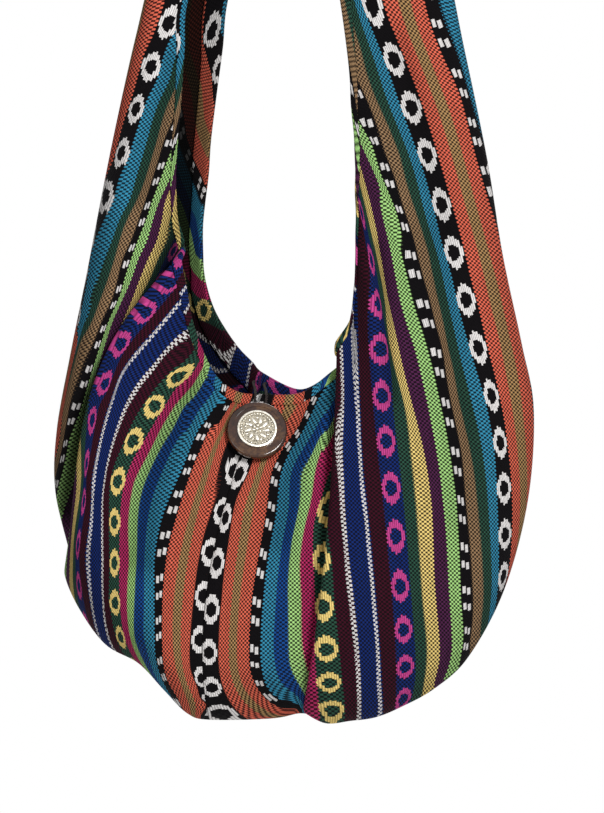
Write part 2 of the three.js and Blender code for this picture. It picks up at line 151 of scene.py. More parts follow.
# Stripes of the cloth, counted in photo pixels outward from the centre seam. A guide is a line
# between two stripes: its count, and pixels that it passes through on the front of the bag.
guides = {
    "rightMiddle": {
        10.5: [(248.5, 470), (236, 500), (227.6, 540), (220.2, 600), (218, 640), (217.5, 670),
               (223, 690), (228.5, 700), (238, 712)],
        49.5: [(296.7, 430), (281.5, 450), (270.7, 470), (267, 500), (260, 540), (251, 600),
               (248.8, 640), (250.5, 670), (257, 690), (267, 700), (296, 709)],
        60.5: [(318, 400), (303.6, 430), (290, 450), (281.5, 470), (278, 500), (271.3, 540),
               (262.5, 600), (260.8, 640), (261.5, 670), (269, 690), (283, 700), (300, 706)],
        72.5: [(315.7, 430), (303.6, 450), (291.6, 470), (289, 500), (282.7, 540), (275, 600),
               (273, 640), (275.8, 670), (289, 690), (300, 700)],
        83.5: [(340, 405), (327, 430), (313, 450), (301.7, 470), (299, 500), (291.6, 540),
               (286.6, 600), (286.3, 640), (290, 670), (301, 690)],
        96.5: [(333.4, 430), (320.7, 450), (315.7, 470), (311, 500), (301.7, 540), (300, 600),
               (301.5, 640), (306.6, 670), (310.4, 690), (312, 710)],
        109.5: [(319.5, 500), (313, 520), (310.6, 540), (313.3, 600), (316.5, 640), (320.9, 670),
                (323.6, 690), (324.7, 710)],
    },
    "leftMiddle": {
        30: [(238, 400), (232, 412), (226, 424), (217, 444), (207, 470)],
        10.5: [(240, 430), (232, 450), (224.5, 470), (217.5, 500), (203.6, 540), (195, 600),
               (191.5, 640), (191, 670), (199, 690), (206, 700), (220, 712)],
        49.5: [(235, 398), (232, 405), (210, 430), (201, 450), (189, 480), (176, 520), (166.6, 560),
               (162.8, 600), (163.2, 640), (169, 680), (178, 695)],
        60.5: [(226, 396), (223.5, 406), (197.2, 430), (182, 470), (161.5, 520), (154.8, 560), (154.8, 600),
               (155.4, 640), (157, 660)],
        72.5: [(212, 396), (204, 406), (189, 430), (172.5, 450), (159.5, 480), (147.3, 520), (145.5, 560),
               (144.5, 600), (145.5, 640), (150, 655)],
        83.5: [(203, 384), (200, 390), (185, 406), (173.8, 430), (160, 450), (146.4, 480), (138, 520),
               (137, 560), (137, 640)],
        96.5: [(199, 374), (174, 406), (160, 430), (150, 450), (134.6, 480), (128.7, 520),
               (128.7, 560), (128, 600), (131.5, 640)],
        109.5: [(192, 374), (165.7, 406), (150, 430), (140, 450), (126.2, 480), (120.6, 520),
                (120.3, 600), (124, 630)],
        119: [(175, 378), (155, 406), (132, 441), (118, 482), (114, 522), (115, 563), (116, 603)],
        128.5: [(180, 365), (142.6, 406), (128, 430), (121, 450), (110.5, 480), (109, 520),
                (109.4, 600)],
        144.5: [(178, 340), (150, 372), (125.6, 406), (104, 480), (102, 520), (102.5, 560),
                (104, 600)],
        168: [(178, 305), (120, 380), (111, 406), (95.5, 480), (93, 520), (89.5, 560), (92, 600)],
        186: [(100, 406), (87, 480), (83.9, 520), (80, 560), (84.8, 600)],
        195: [(175, 262), (168, 282), (147, 313), (122, 345), (107, 385), (93, 420), (84, 500),
              (79, 545)],
        204: [(93, 406), (84.4, 480), (79.6, 520), (76.4, 560)],
    },
    "rightSide": {
        128.5: [(330, 460), (327, 480), (326, 510), (331, 560), (333.6, 600), (337.4, 640),
                (341, 680), (344, 710)],
        142: [(341, 400), (336, 440), (338, 480), (341, 520), (348, 600), (352, 640), (356, 710)],
        165: [(351, 340), (354.5, 400), (359, 480), (363, 520), (370.5, 600), (374, 640),
              (376, 680)],
        171: [(357, 280), (355, 320), (359.5, 400), (364, 480), (368, 520), (376, 600), (378, 640),
              (381, 680), (382, 710)],
        186: [(366, 240), (369, 270), (368, 340), (373, 400), (378, 450), (382, 500), (391, 600),
              (394, 640), (396, 680)],
        204: [(387, 340), (391, 400), (397, 450), (402, 500), (409, 600), (412, 640), (413, 680)],
        217: [(385, 300), (386, 320), (391, 350), (403, 400), (410, 450), (415, 500), (422, 600),
              (425, 640), (424, 680), (421, 700)],
        230.5: [(381, 260), (389, 300), (399, 350), (411, 400), (422, 450), (430, 500), (434, 580),
                (438, 660), (436, 690)],
        245: [(377, 180), (384, 220), (390, 250), (400, 300), (414, 350), (426, 400), (436, 450),
              (441, 500), (449, 600), (451, 640), (443, 680)],
        258: [(355, 115), (369, 140), (383, 180), (400, 250), (413, 300), (428, 350), (440, 400),
              (449, 450), (455, 500), (461, 600), (462, 640), (457, 670)],
        269: [(350, 60), (367, 100), (381, 140), (395, 180), (416, 250), (430, 300), (442, 350),
              (451, 400), (460, 450), (465, 500), (472, 600), (469, 640)],
        281: [(347, 0), (361, 50), (376, 100), (398, 154), (427, 250), (438, 300), (448, 350),
              (458, 400), (469, 450), (476, 500), (481, 600), (480, 640)],
        305: [(362, 0), (381, 50), (399, 100), (416, 150), (430.5, 200), (443.7, 250), (456, 300),
              (470, 350), (484, 400), (493, 450), (497, 500), (496, 600), (488, 640)],
        326: [(382, 0), (401, 50), (419, 100), (436, 150), (450, 200), (463.5, 250), (476, 300),
              (487, 350), (500, 400), (508, 450), (511, 500), (508, 590), (500, 620)],
        365: [(424, 0), (440, 50), (459, 100), (474, 150), (487, 200), (501, 250), (513, 300),
              (523, 350), (531, 400), (537, 450)],
        376: [(438, 0), (455, 50), (471, 100), (485, 150), (498, 200)],
    },
    "leftSide": {
        326: [(161, 20), (153.6, 40), (144, 60), (138.4, 80), (132, 100), (126.4, 120), (120, 140),
              (114.4, 160), (106.4, 180), (76.7, 318), (78.7, 340), (74, 360), (69.7, 380),
              (65.5, 406), (61, 440)],
        305: [(180, 20), (170.4, 40), (162.4, 60), (156.8, 80), (147, 100), (141.6, 120),
              (134.4, 140), (128, 160), (120, 180), (115, 200), (105.6, 220), (96, 240),
              (90.4, 260), (88, 280), (85, 300), (80.5, 320)],
        293: [(184, 20), (182, 40), (174.4, 60), (169.6, 80), (160, 100), (148, 140), (136, 180),
              (129.6, 200), (120, 220), (113, 240), (106.6, 260), (100, 280), (92, 300),
              (87.7, 320)],
        281: [(180, 80), (169.6, 100), (162.4, 120), (156.8, 140), (144, 180), (128, 220),
              (121, 240), (114.7, 260), (109.3, 280), (101, 300), (94, 320), (82, 340)],
        269: [(179, 100), (172.8, 120), (164.8, 140), (152, 180), (145.6, 200), (138.4, 220),
              (132, 240), (122.8, 260), (117.4, 280), (112, 300), (103, 320), (95.8, 340),
              (86.8, 360), (80.5, 380), (71, 406)],
        258: [(176, 140), (167.2, 160), (160, 180), (152.8, 200), (145.6, 220), (137, 240),
              (130, 260), (123.7, 280), (118, 300), (109, 320), (102, 340), (95, 360),
              (89.5, 380), (81, 406), (69, 440), (60, 480)],
        245: [(176, 160), (169.6, 180), (160, 200), (152.8, 220), (148, 240), (138, 260),
              (131, 280), (122, 300), (113, 320), (105.7, 340), (94, 380), (82, 440), (74.5, 480),
              (63.3, 520)],
        230.5: [(165.6, 200), (161.6, 220), (157, 240), (148, 260), (139, 280), (132, 300),
                (122.8, 320), (90, 440), (84.4, 480), (74.5, 520), (65, 560)],
        217: [(173.6, 200), (169.6, 220), (167, 240), (157, 260), (148, 280), (138, 300),
              (128, 320), (79.6, 520), (76.4, 560)],
        204: [(164, 260), (145, 300)],
    },
}
stripes = {
    "seamCount": {"rightMiddle": -8.5, "leftMiddle": -2.5},   # both halves cut the first stripe
    "rimTop": 368,           # count at the rim where the strap is highest
    "rightRim": [(13, 365), (16, 376), (17.5, 390)],      # and by rib on either side of it
    "leftRim": [(24.5, 344)],
    "strapRibs": {"rightSide": [19, 20, 21], "leftSide": [21, 22, 23]},
    "guideReach": 5,         # a guide's pixel counts where the cloth comes this near to it
    "ribStep": 0.25,         # a step from rib to rib against one from the edge to the rim
    # left rim: a narrow fold swallows stripes up to 326, by height in the photograph
    "hidden": [(300, 326), (345, 297), (400, 281)],
}
regionSpans = {
    "rightMiddle": (0, 3.2),
    "rightSide": (3.7, 18.5),
    "leftSide": (23.5, 32.3),
    "leftMiddle": (32.7, 39),
}


def smoothField(points, values, softness=0.0004):
    def kernel(first, second):
        squared = ((first[:, None, :] - second[None, :, :]) ** 2).sum(-1)
        return squared * np.log(squared + 1e-9)

    count = len(points)
    flat = np.hstack([np.ones((count, 1)), points])
    system = np.zeros((count + 3, count + 3))
    system[:count, :count] = kernel(points, points) + softness * np.eye(count)
    system[:count, count:] = flat
    system[count:, :count] = flat.T
    weights = np.linalg.solve(system, np.concatenate([values, np.zeros(3)]))

    def evaluate(queries):
        parts = []
        for chunk in np.array_split(queries, max(1, len(queries) // 6000)):
            bent = kernel(chunk, points) @ weights[:count]
            parts.append(bent + weights[count] + chunk @ weights[count + 1:])
        return np.concatenate(parts)
    return evaluate


def fieldSpot(place, turn):
    return np.stack([np.asarray(place) * stripes["ribStep"], np.asarray(turn)], -1)


def strapRimCount(place):     # the two halves meet with the same count where the strap is highest
    top = (cloth["strapTop"], stripes["rimTop"])
    right = np.interp(place, *zip(*stripes["rightRim"], top))
    left = np.interp(place, *zip(top, *stripes["leftRim"]))
    return np.where(place <= cloth["strapTop"], right, left)


def strapSpots(places):       # counts over the part of the strap above the photograph's edge
    spots, counts = [], []
    for place in places:
        turns = np.linspace(0, -1, 41)
        walk = clothPoint(place, turns - 1e-6)
        steps = np.linalg.norm(np.diff(walk, axis=0), axis=1)
        fromRim = np.concatenate([[0], np.cumsum(steps)]) / photo["mmPerPixel"]
        for pick in range(0, 41, 10):
            spots.append((place, turns[pick]))
            counts.append(float(strapRimCount(place)) - fromRim[pick])
    return spots, counts


def regionField(name):
    low, high = regionSpans[name]
    places = np.arange(low, high + 0.001, 0.05)
    turns = np.linspace(-1, -0.0001, 220)
    samplePlace, sampleTurn = np.meshgrid(places, turns, indexing="ij")
    samples = pixelsOf(clothPoint(samplePlace, sampleTurn)).reshape(-1, 2)
    spots, counts = [], []
    for count, pixels in guides[name].items():
        for pixel in pixels:
            away = ((samples - pixel) ** 2).sum(1)
            nearest = int(away.argmin())
            if away[nearest] > stripes["guideReach"] ** 2:
                continue
            spots.append((samplePlace.flat[nearest], sampleTurn.flat[nearest]))
            shown = count
            if name == "leftSide" and count == stripes["hidden"][0][1]:
                shown = float(np.interp(pixel[1], *zip(*stripes["hidden"])))
            counts.append(shown)
    if name in stripes["seamCount"]:
        for turn in np.linspace(-1, 0, 9):
            spots.append((0 if name == "rightMiddle" else len(ribs), turn))
            counts.append(stripes["seamCount"][name])
    if name in stripes["strapRibs"]:
        more = strapSpots(stripes["strapRibs"][name])
        spots += more[0]
        counts += more[1]
    spots = np.array(spots)
    print("guide points", name, len(spots))
    return smoothField(fieldSpot(spots[:, 0], spots[:, 1]), np.array(counts, float))


fields = {name: regionField(name) for name in guides}


def frontCount(place, turn):
    place, turn = np.broadcast_arrays(np.asarray(place, float), np.asarray(turn, float))
    turn = -np.abs(turn)
    count = np.zeros(place.shape)
    spans = {
        "rightMiddle": place < cloth["rightTuck"],
        "rightSide": (place >= cloth["rightTuck"]) & (place <= cloth["strapTop"]),
        "leftSide": (place > cloth["strapTop"]) & (place < cloth["leftFold"]),
        "leftMiddle": place >= cloth["leftFold"],
    }
    for name, chosen in spans.items():
        if chosen.any():
            count[chosen] = fields[name](fieldSpot(place[chosen], turn[chosen]))
    return count


def clothCount(place, turn):      # the back repeats the front, without its tuck and its fold
    place, turn = np.broadcast_arrays(np.asarray(place, float), np.asarray(turn, float))
    count = frontCount(place, turn)
    for low, high in cloth["plainBack"]:
        inside = (turn > 0) & (place > low) & (place < high)
        if inside.any():
            share = (place[inside] - low) / (high - low)
            lower = frontCount(np.full(share.shape, float(low)), turn[inside])
            upper = frontCount(np.full(share.shape, float(high)), turn[inside])
            count[inside] = lower + share * (upper - lower)
    return count


strapWalk = {"feet": (16.8, 25.2), "turn": -0.45, "steps": 60}      # ribs and line of the walk below


def lengthAlong(place, points):   # photo pixels down the stripes, carried on over the strap's top
    down = pixelsOf(points)[..., 1]
    high = cloth["strapTop"]
    for low in strapWalk["feet"]:
        path = np.linspace(low, high, strapWalk["steps"])
        walk = clothPoint(path, np.full(path.shape, strapWalk["turn"]))
        steps = np.linalg.norm(np.diff(walk, axis=0), axis=1)
        climbed = np.concatenate([[0], np.cumsum(steps)]) / photo["mmPerPixel"]
        start = pixelsOf(walk[:1])[0, 1]
        order = np.argsort(path)
        over = start - np.interp(place, path[order], climbed[order])
        side = 1 if high > low else -1
        share = easeBetween(0, 1, (place - low) * side)
        share = np.where((place - high) * side > 0, 0, share)
        down = down + share * (over - down)
    return down


# Woven figures: heights in the photograph of each figure's middle, by the count of their stripe.
figurePitch = 48.5      # usual step from figure to figure, in photo pixels
figureLean = {"most": 2.5, "reach": 30}      # slope of a row of figures to its stripe
figureHalves = {0: 18, 55: 13, 119: 16, 156.3: 15, 195: 16, 263.5: 14, 315.5: 18, 370.5: 14}
rightFigures = {
    0: [475, 518, 563, 610, 653, 688, 712],
    55: [409, 440.5, 473.5, 515, 564, 611.5, 658.5, 688.5],
    119: [510, 560, 607, 650, 683, 709],
    156.3: [250, 298.5, 347, 395.5, 444, 492.5, 541, 589.5, 638, 686.5],
    195: [261, 304, 349, 396, 441, 488, 536, 587, 630, 667, 698],
    263.5: [132.5, 175.5, 218, 264.5, 313.5, 362.5, 413, 461.5, 510, 556.5, 598.5, 638],
    315.5: [10, 60, 108, 155, 205, 253, 300, 348, 396, 443, 488, 535, 576],
    370.5: [33, 83.5, 132.5, 180.5, 233, 279, 326, 375],
}
leftFigures = {
    0: [472, 511, 552, 596, 640, 679, 701],
    55: [403.5, 431, 464, 502, 543.5, 587, 628, 668.5],
    119: [(184, 330), (175, 378), (155, 406), (132, 441), (118, 482), (114, 522), (115, 563),
          (116, 603), (124, 636)],
    156.3: [(188, 318), (149, 360), (121, 401), (107, 447), (98, 494), (94, 543), (95, 591),
            (104, 640)],
    195: [(173, 251), (166, 282), (147, 313), (122, 345), (107, 385), (93, 420), (87, 465),
          (84, 500), (80, 545), (82, 585)],
    263.5: [135.5, 173.5, 214, 256, 297, 336.5, 377, 414, 450.5],
    315.5: [24, 67, 109, 153, 197, 236],
    370.5: [20, 68.5],
}


def figureIndex(length, heights, pixels):
    heights = np.array(heights, float)
    if heights.ndim == 2:     # spots across the photograph: the nearest point of the line through them
        best, index = np.full(length.shape, 1e9), np.zeros(length.shape)
        last = len(heights) - 2
        for step, (start, end) in enumerate(zip(heights, heights[1:])):
            span = end - start
            share = ((pixels - start) @ span) / (span @ span)
            share = np.clip(share, -9 if step == 0 else 0, 9 if step == last else 1)
            away = np.linalg.norm(pixels - start - share[..., None] * span, axis=-1)
            index = np.where(away < best, step + share, index)
            best = np.minimum(best, away)
        return index
    index = np.interp(length, heights, np.arange(len(heights)))
    index = np.where(length < heights[0], (length - heights[0]) / figurePitch, index)
    past = len(heights) - 1 + (length - heights[-1]) / (figurePitch * 0.85)
    return np.where(length > heights[-1], past, index)


def gridSlopes(values, places, turns):
    return np.gradient(values, places, axis=0), np.gradient(values, turns, axis=1)


def figureField(points, places, turns, count, length, figures):
    alongPlace, alongTurn = gridSlopes(points / photo["mmPerPixel"], places, turns)
    countPlace, countTurn = gridSlopes(count, places, turns)
    lengthPlace, lengthTurn = gridSlopes(length, places, turns)
    pp = (alongPlace ** 2).sum(-1)
    pt = (alongPlace * alongTurn).sum(-1)
    tt = (alongTurn ** 2).sum(-1)
    area = np.maximum(pp * tt - pt ** 2, 1e-3)
    risePlace = (tt * countPlace - pt * countTurn) / area
    riseTurn = (pp * countTurn - pt * countPlace) / area
    steepness = np.maximum(risePlace * countPlace + riseTurn * countTurn, 0.05)
    most, reach = figureLean["most"], figureLean["reach"]
    skew = np.clip((risePlace * lengthPlace + riseTurn * lengthTurn) / steepness, -most, most)
    centres = sorted(figures)
    layers = []
    pixels = pixelsOf(points)
    for centre in centres:
        foot = length - np.clip(count - centre, -reach, reach) * skew
        layers.append(figureIndex(foot, figures[centre], pixels))
    field = layers[0]
    for lower, upper, layer in zip(centres, centres[1:], layers[1:]):
        share = easeBetween(lower + figureHalves[lower], upper - figureHalves[upper], count)
        field = field + share * (layer - field)
    return field


# Small folds of the cloth on the front: the ribs they lie between, pixels that a fold passes
# through, its half width in pixels, and how far it stands out, or lies in, in millimetres.
folds = [
    ((25, 32.4), [(190, 200), (172, 262), (150, 305), (120, 352), (95, 402), (80, 450), (68, 510)], 10, -13),
    ((26, 32.0), [(128, 230), (104, 300), (84, 370), (72, 430)], 12, 3.5),
    ((32.6, 39), [(160, 300), (132, 338), (110, 385), (98, 430), (92, 480)], 15, 5),
    ((32.6, 39), [(196, 392), (170, 440), (150, 490), (140, 560)], 12, -6),
    ((33, 39), [(232, 420), (205, 470), (180, 540), (172, 600)], 12, 3),
    ((0, 3.4), [(318, 400), (296, 438), (284, 480), (276, 540)], 10, -4),
    ((0, 3.4), [(335, 405), (316, 450), (305, 510), (296, 590)], 9, 3.5),
    ((3.6, 12), [(377, 246), (383, 283), (387, 335), (392, 400)], 5, -3.5),
    ((3.6, 12), [(366, 262), (371, 310), (378, 380), (384, 460)], 7, 2.5),
    ((3.6, 9), [(345, 420), (343, 470), (350, 540), (356, 620)], 9, 3),
    ((6, 16), [(428, 240), (446, 330), (458, 420), (462, 520)], 14, -2.5),
    ((11, 19), [(420, 60), (448, 150), (474, 250), (500, 350)], 13, 2.5),
    ((12, 19), [(396, 40), (420, 130), (444, 230)], 9, -2.5),
    ((22, 30), [(162, 40), (140, 120), (122, 190), (104, 260)], 12, 3),
    ((22, 30), [(176, 60), (160, 130), (143, 200)], 8, -3),
    ((33, 39), [(150, 640), (190, 690), (240, 712)], 14, 3),
    ((0, 5), [(262, 690), (300, 704)], 12, -3),
]
# shadow and deepest: width, and depth for full strength, of the painted shade along folds that lie in
foldFade = {"ribs": 0.6, "depth": 12, "shadow": 1.5, "deepest": 12}


def foldShape(points, place):
    shaped = points.copy()
    pixels = pixelsOf(points)
    lift = np.zeros(points.shape[:-1])
    paintedFoldShade = lift.copy()
    for (low, high), path, width, height in folds:
        route = np.array(path, float)
        best = np.full(lift.shape, 1e9)
        for start, end in zip(route, route[1:]):
            span = end - start
            share = np.clip(((pixels - start) @ span) / (span @ span), 0, 1)
            away = np.linalg.norm(pixels - start - share[..., None] * span, axis=-1)
            best = np.minimum(best, away)
        ease = foldFade["ribs"]
        inside = easeBetween(low, low + ease, place) * easeBetween(high, high - ease, place)
        lift += height * inside * np.exp(-(best / width) ** 2)
        # painted shade: a fold that lies in darkens the cloth along it, a little wider than the fold
        paintedFoldShade += max(-height, 0) * inside * np.exp(-(best / width / foldFade["shadow"]) ** 2)
    front = np.clip(-points[..., 1] / foldFade["depth"], 0, 1)
    shaped[..., 1] -= lift * front
    return shaped, np.clip(paintedFoldShade * front / foldFade["deepest"], 0, 1)


def addMesh(name, points, quads, layers, figures):
    mesh = bpy.data.meshes.new(name)
    mesh.vertices.add(len(points))
    mesh.vertices.foreach_set("co", (points / 1000).astype(np.float32).ravel())
    mesh.loops.add(quads.size)
    mesh.loops.foreach_set("vertex_index", quads.astype(np.int32).ravel())
    mesh.polygons.add(len(quads))
    mesh.polygons.foreach_set("loop_start", np.arange(0, quads.size, 4, dtype=np.int32))
    mesh.polygons.foreach_set("use_smooth", np.ones(len(quads), bool))
    mesh.update(calc_edges=True)
    uv = mesh.uv_layers.new(name="stripes")
    uv.data.foreach_set("uv", (layers[quads.ravel()] / 100).astype(np.float32).ravel())
    figure = mesh.attributes.new("figure", "FLOAT", "POINT")
    figure.data.foreach_set("value", figures.astype(np.float32))
    mesh.validate()
    piece = bpy.data.objects.new(name, mesh)
    scene.collection.objects.link(piece)
    return piece


def facingOut(points, quads):
    a, b, c, d = (points[quads[:, k]] for k in range(4))
    volume = (np.cross(b, c) * a).sum() + (np.cross(c, d) * a).sum()
    return quads if volume > 0 else quads[:, ::-1]


def outwardOf(points, places, turns):
    alongPlace, alongTurn = gridSlopes(points, places, turns)
    out = np.cross(alongTurn, alongPlace)
    return out / np.linalg.norm(out, axis=-1, keepdims=True)


# Count along the back edge inside the mouth, by height in the photograph.
backEdge = [(-190, 300), (30, 300), (70, 315.5), (110, 326), (190, 365), (210, 376), (245, 388),
            (262, 399), (285, 412), (303, 425), (335, 444), (345, 457), (362, 480), (374, 504)]


def innerBack(points):        # count, length and figures on the inside of the back
    edge = points[:, -1]
    edgeCount = np.interp(pixelsOf(edge)[:, 1], *zip(*backEdge))
    steps = np.linalg.norm(np.diff(points, axis=1), axis=2) / photo["mmPerPixel"]
    inward = np.flip(np.concatenate([np.zeros((len(points), 1)), np.cumsum(np.flip(steps, 1), 1)], 1), 1)
    walked = np.concatenate([[0], np.cumsum(np.linalg.norm(np.diff(edge, axis=0), axis=1))])
    walked = np.broadcast_to(walked[:, None] / photo["mmPerPixel"], points.shape[:2])
    return edgeCount[:, None] + inward, walked, walked / figurePitch


def panelPiece(name, firstRib, lastRib, figures):
    places = np.linspace(firstRib, lastRib, (lastRib - firstRib) * cloth["columnsPerRib"] + 1)
    turns = np.concatenate([np.linspace(-1, 0, cloth["frontRows"] + 1),
                            np.linspace(0, 1, cloth["backRows"] + 1)[1:]])
    placeGrid, turnGrid = np.meshgrid(places, turns, indexing="ij")
    points, paintedFoldShade = foldShape(clothPoint(placeGrid, turnGrid), placeGrid)
    out = outwardOf(points, places, turns)
    alongPlace = gridSlopes(points, places, turns)[0]
    alongPlace /= np.linalg.norm(alongPlace, axis=-1, keepdims=True)
    points[0] += alongPlace[0] * cloth["seamGap"] / 2
    points[-1] -= alongPlace[-1] * cloth["seamGap"] / 2
    count = clothCount(placeGrid, turnGrid)
    length = lengthAlong(placeGrid, points)
    figure = figureField(points, places, turns, count, length, figures)
    backFrom = cloth["frontRows"] + 4
    innerCount, innerLength, innerFigure = count.copy(), length.copy(), figure.copy()
    seen = innerBack(points)
    innerCount[:, backFrom:], innerLength[:, backFrom:], innerFigure[:, backFrom:] = (
        layer[:, backFrom:] for layer in seen)
    outer = points + out * cloth["thickness"] / 2
    inner = points - out * cloth["thickness"] / 2
    ids = np.arange(outer[..., 0].size).reshape(outer.shape[:2])
    under = ids + ids.size

    def sheet(grid):
        return np.stack([grid[:-1, :-1], grid[:-1, 1:], grid[1:, 1:], grid[1:, :-1]], -1).reshape(-1, 4)

    def strip(top, low):
        return np.stack([top[:-1], low[:-1], low[1:], top[1:]], -1)

    quads = np.concatenate([
        sheet(ids),
        sheet(under)[:, ::-1],
        strip(ids[:, 0], under[:, 0])[:, ::-1],
        strip(ids[:, -1], under[:, -1]),
        strip(ids[0], under[0]),
        strip(ids[-1], under[-1])[:, ::-1],
    ])
    allPoints = np.concatenate([outer.reshape(-1, 3), inner.reshape(-1, 3)])
    quads = facingOut(allPoints, quads)
    layers = np.concatenate([np.stack([count, length], -1).reshape(-1, 2),
                             np.stack([innerCount, innerLength], -1).reshape(-1, 2)])
    allFigures = np.concatenate([figure.ravel(), innerFigure.ravel()])
    piece = addMesh(name, allPoints, quads, layers, allFigures)
    shadow = piece.data.attributes.new("paintedFoldShade", "FLOAT", "POINT")
    shadow.data.foreach_set("value", np.concatenate([paintedFoldShade.ravel(), paintedFoldShade.ravel()]).astype(np.float32))
    isInside = (quads >= ids.size).all(1)
    piece.data.polygons.foreach_set("material_index", isInside.astype(np.int32))
    print("cloth panel", name, len(quads) * 2, "triangles", len(turns), "rows")
    return piece


# Strips sewn round the edges of the mouth. The stripes of a strip follow the edge: pixel on the
# edge and the count there.
strips = {
    "front": {"turn": -1, "width": 9.0, "thickness": 1.1, "gap": 0.3, "puff": 0.5},
    "back": {"turn": 1, "width": 22.0, "thickness": 1.1, "gap": 0.3, "puff": 0.3},
}
stripShape = {           # rows from the free edge to the mouth, and how each one stands out
    "fractions": [1, 0.92, 0.7, 0.4, 0.15, 0],
    "puffs": [0, 0.6, 1, 1, 0.7, 0.2],
    "sewnDown": 0.5,
    "rounding": 0.72,
}
frontEdgeCounts = [
    ((341, 0), 277), ((350, 60), 270), ((358, 130), 251), ((362, 160), 238), ((365, 190), 224),
    ((362, 208), 210), ((361, 231), 195), ((361, 255), 178), ((361, 273), 168), ((360, 286), 156),
    ((356, 300), 144.5), ((355, 308), 135), ((348, 323), 119), ((343, 352), 103), ((337, 367), 90),
    ((325, 378), 78), ((317, 383), 66.5), ((308, 390), 55), ((303, 391), 47), ((290, 394), 30),
    ((277, 395), 14), ((263, 396), 0), ((250, 394), 14), ((240, 392), 30), ((229, 389), 47),
    ((222, 386), 55), ((208, 374), 78), ((198, 362), 90), ((190, 352), 103),
    ((185, 329), 119), ((182, 300), 150), ((181, 275), 185), ((178, 245), 210), ((175, 200), 224),
    ((177, 160), 245), ((180, 120), 266), ((184, 80), 287), ((186, 40), 300),
]


def edgeCounts(edge, entries):
    pixels = pixelsOf(edge)
    spots, counts = [], []
    for pixel, count in entries:
        away = ((pixels - pixel) ** 2).sum(1)
        spots.append(int(away.argmin()))
        counts.append(count)
    order = np.argsort(spots)
    spots, counts = np.array(spots)[order], np.array(counts, float)[order]
    keep = np.concatenate([[True], np.diff(spots) > 0])
    spots, counts = spots[keep], counts[keep]
    size = len(edge)
    spots = np.concatenate([spots[-1:] - size, spots, spots[:1] + size])
    counts = np.concatenate([counts[-1:], counts, counts[:1]])
    return np.interp(np.arange(size), spots, counts)


def stripPiece(name, values, perRib, countsAtEdge):
    places = np.arange(0, len(ribs), 1 / perRib)
    edgeTurn = values["turn"]
    small = 0.02
    edge = clothPoint(places, np.full(len(places), float(edgeTurn)))
    near = clothPoint(places, np.full(len(places), edgeTurn * (1 - small)))
    share = small * values["width"] / np.linalg.norm(near - edge, axis=1)
    fractions, puffs = stripShape["fractions"], stripShape["puffs"]
    step = 0.004
    rowPoints, rowOuts = [], []
    for fraction in fractions:
        turn = edgeTurn * (1 - share * fraction)
        middle = foldShape(clothPoint(places, turn), places)[0]
        ahead = clothPoint(places + step, turn) - clothPoint(places - step, turn)
        if fraction == 0:     # the cloth ends at the edge
            over = (clothPoint(places, turn) - clothPoint(places, turn * (1 - step))) * edgeTurn
        else:
            over = clothPoint(places, turn + step) - clothPoint(places, turn - step)
        out = np.cross(over, ahead)
        out /= np.linalg.norm(out, axis=1, keepdims=True)
        rowPoints.append(middle)
        rowOuts.append(out)
    beyond = edge - near
    beyond /= np.linalg.norm(beyond, axis=1, keepdims=True)
    low = cloth["thickness"] / 2 + values["gap"]
    high = low + values["thickness"]
    section, fromEdge = [], []

    def standsOut(row):
        return high + values["puff"] * puffs[row] - (stripShape["sewnDown"] if row == 0 else 0)

    def put(row, rise, reach, distance):
        section.append(rowPoints[row] + rowOuts[row] * rise + beyond * reach)
        fromEdge.append(distance)

    width, rounding = values["width"], stripShape["rounding"]
    reach = values["gap"] + values["thickness"]
    last = len(fractions) - 1
    for row, fraction in enumerate(fractions):
        put(row, standsOut(row), 0, width * fraction)
    put(last, high * rounding, reach * rounding, -0.5)
    put(last, 0, reach, -1.5)
    put(last, -high * rounding, reach * rounding, -2.5)
    for row in range(last, -1, -1):
        put(row, -standsOut(row), 0, -3 - width * fractions[row])
    put(0, -low, 0, -3 - width)
    put(last, -low, 0, -3)
    put(last, 0, values["gap"], -1.5)
    put(last, low, 0, 0)
    put(0, low, 0, width)
    points = np.stack(section, 1)
    distance = np.array(fromEdge) / photo["mmPerPixel"]
    edgeCount = countsAtEdge(edge)
    gaps = np.linalg.norm(np.roll(edge, -1, 0) - edge, axis=1) / photo["mmPerPixel"]
    rises = np.abs(np.roll(edgeCount, -1) - edgeCount) / gaps
    rises = np.convolve(np.concatenate([rises[-6:], rises, rises[:6]]), np.ones(13) / 13, "valid")
    crossing = np.clip(rises, 0, 1)      # 1 where the stripes cross the edge, 0 where they follow it
    beside = np.sqrt(1 - crossing ** 2)
    count = edgeCount[:, None] + np.abs(distance)[None, :] * beside[:, None]
    length = np.cumsum(gaps * beside)[:, None] + distance[None, :] * np.maximum(crossing, 0.3)[:, None]
    figure = length / figurePitch + 0.5
    ids = np.arange(points[..., 0].size).reshape(points.shape[:2])
    after = np.roll(ids, -1, 0)
    quads = np.stack([ids, np.roll(ids, -1, 1), np.roll(after, -1, 1), after], -1).reshape(-1, 4)
    flat = points.reshape(-1, 3)
    quads = facingOut(flat, quads)
    layers = np.stack([np.broadcast_to(count, ids.shape), length], -1).reshape(-1, 2)
    piece = addMesh(name, flat, quads, layers, figure.ravel())
    print("edge strip", name, len(quads) * 2, "triangles", points.shape[1], "points round")
    return piece


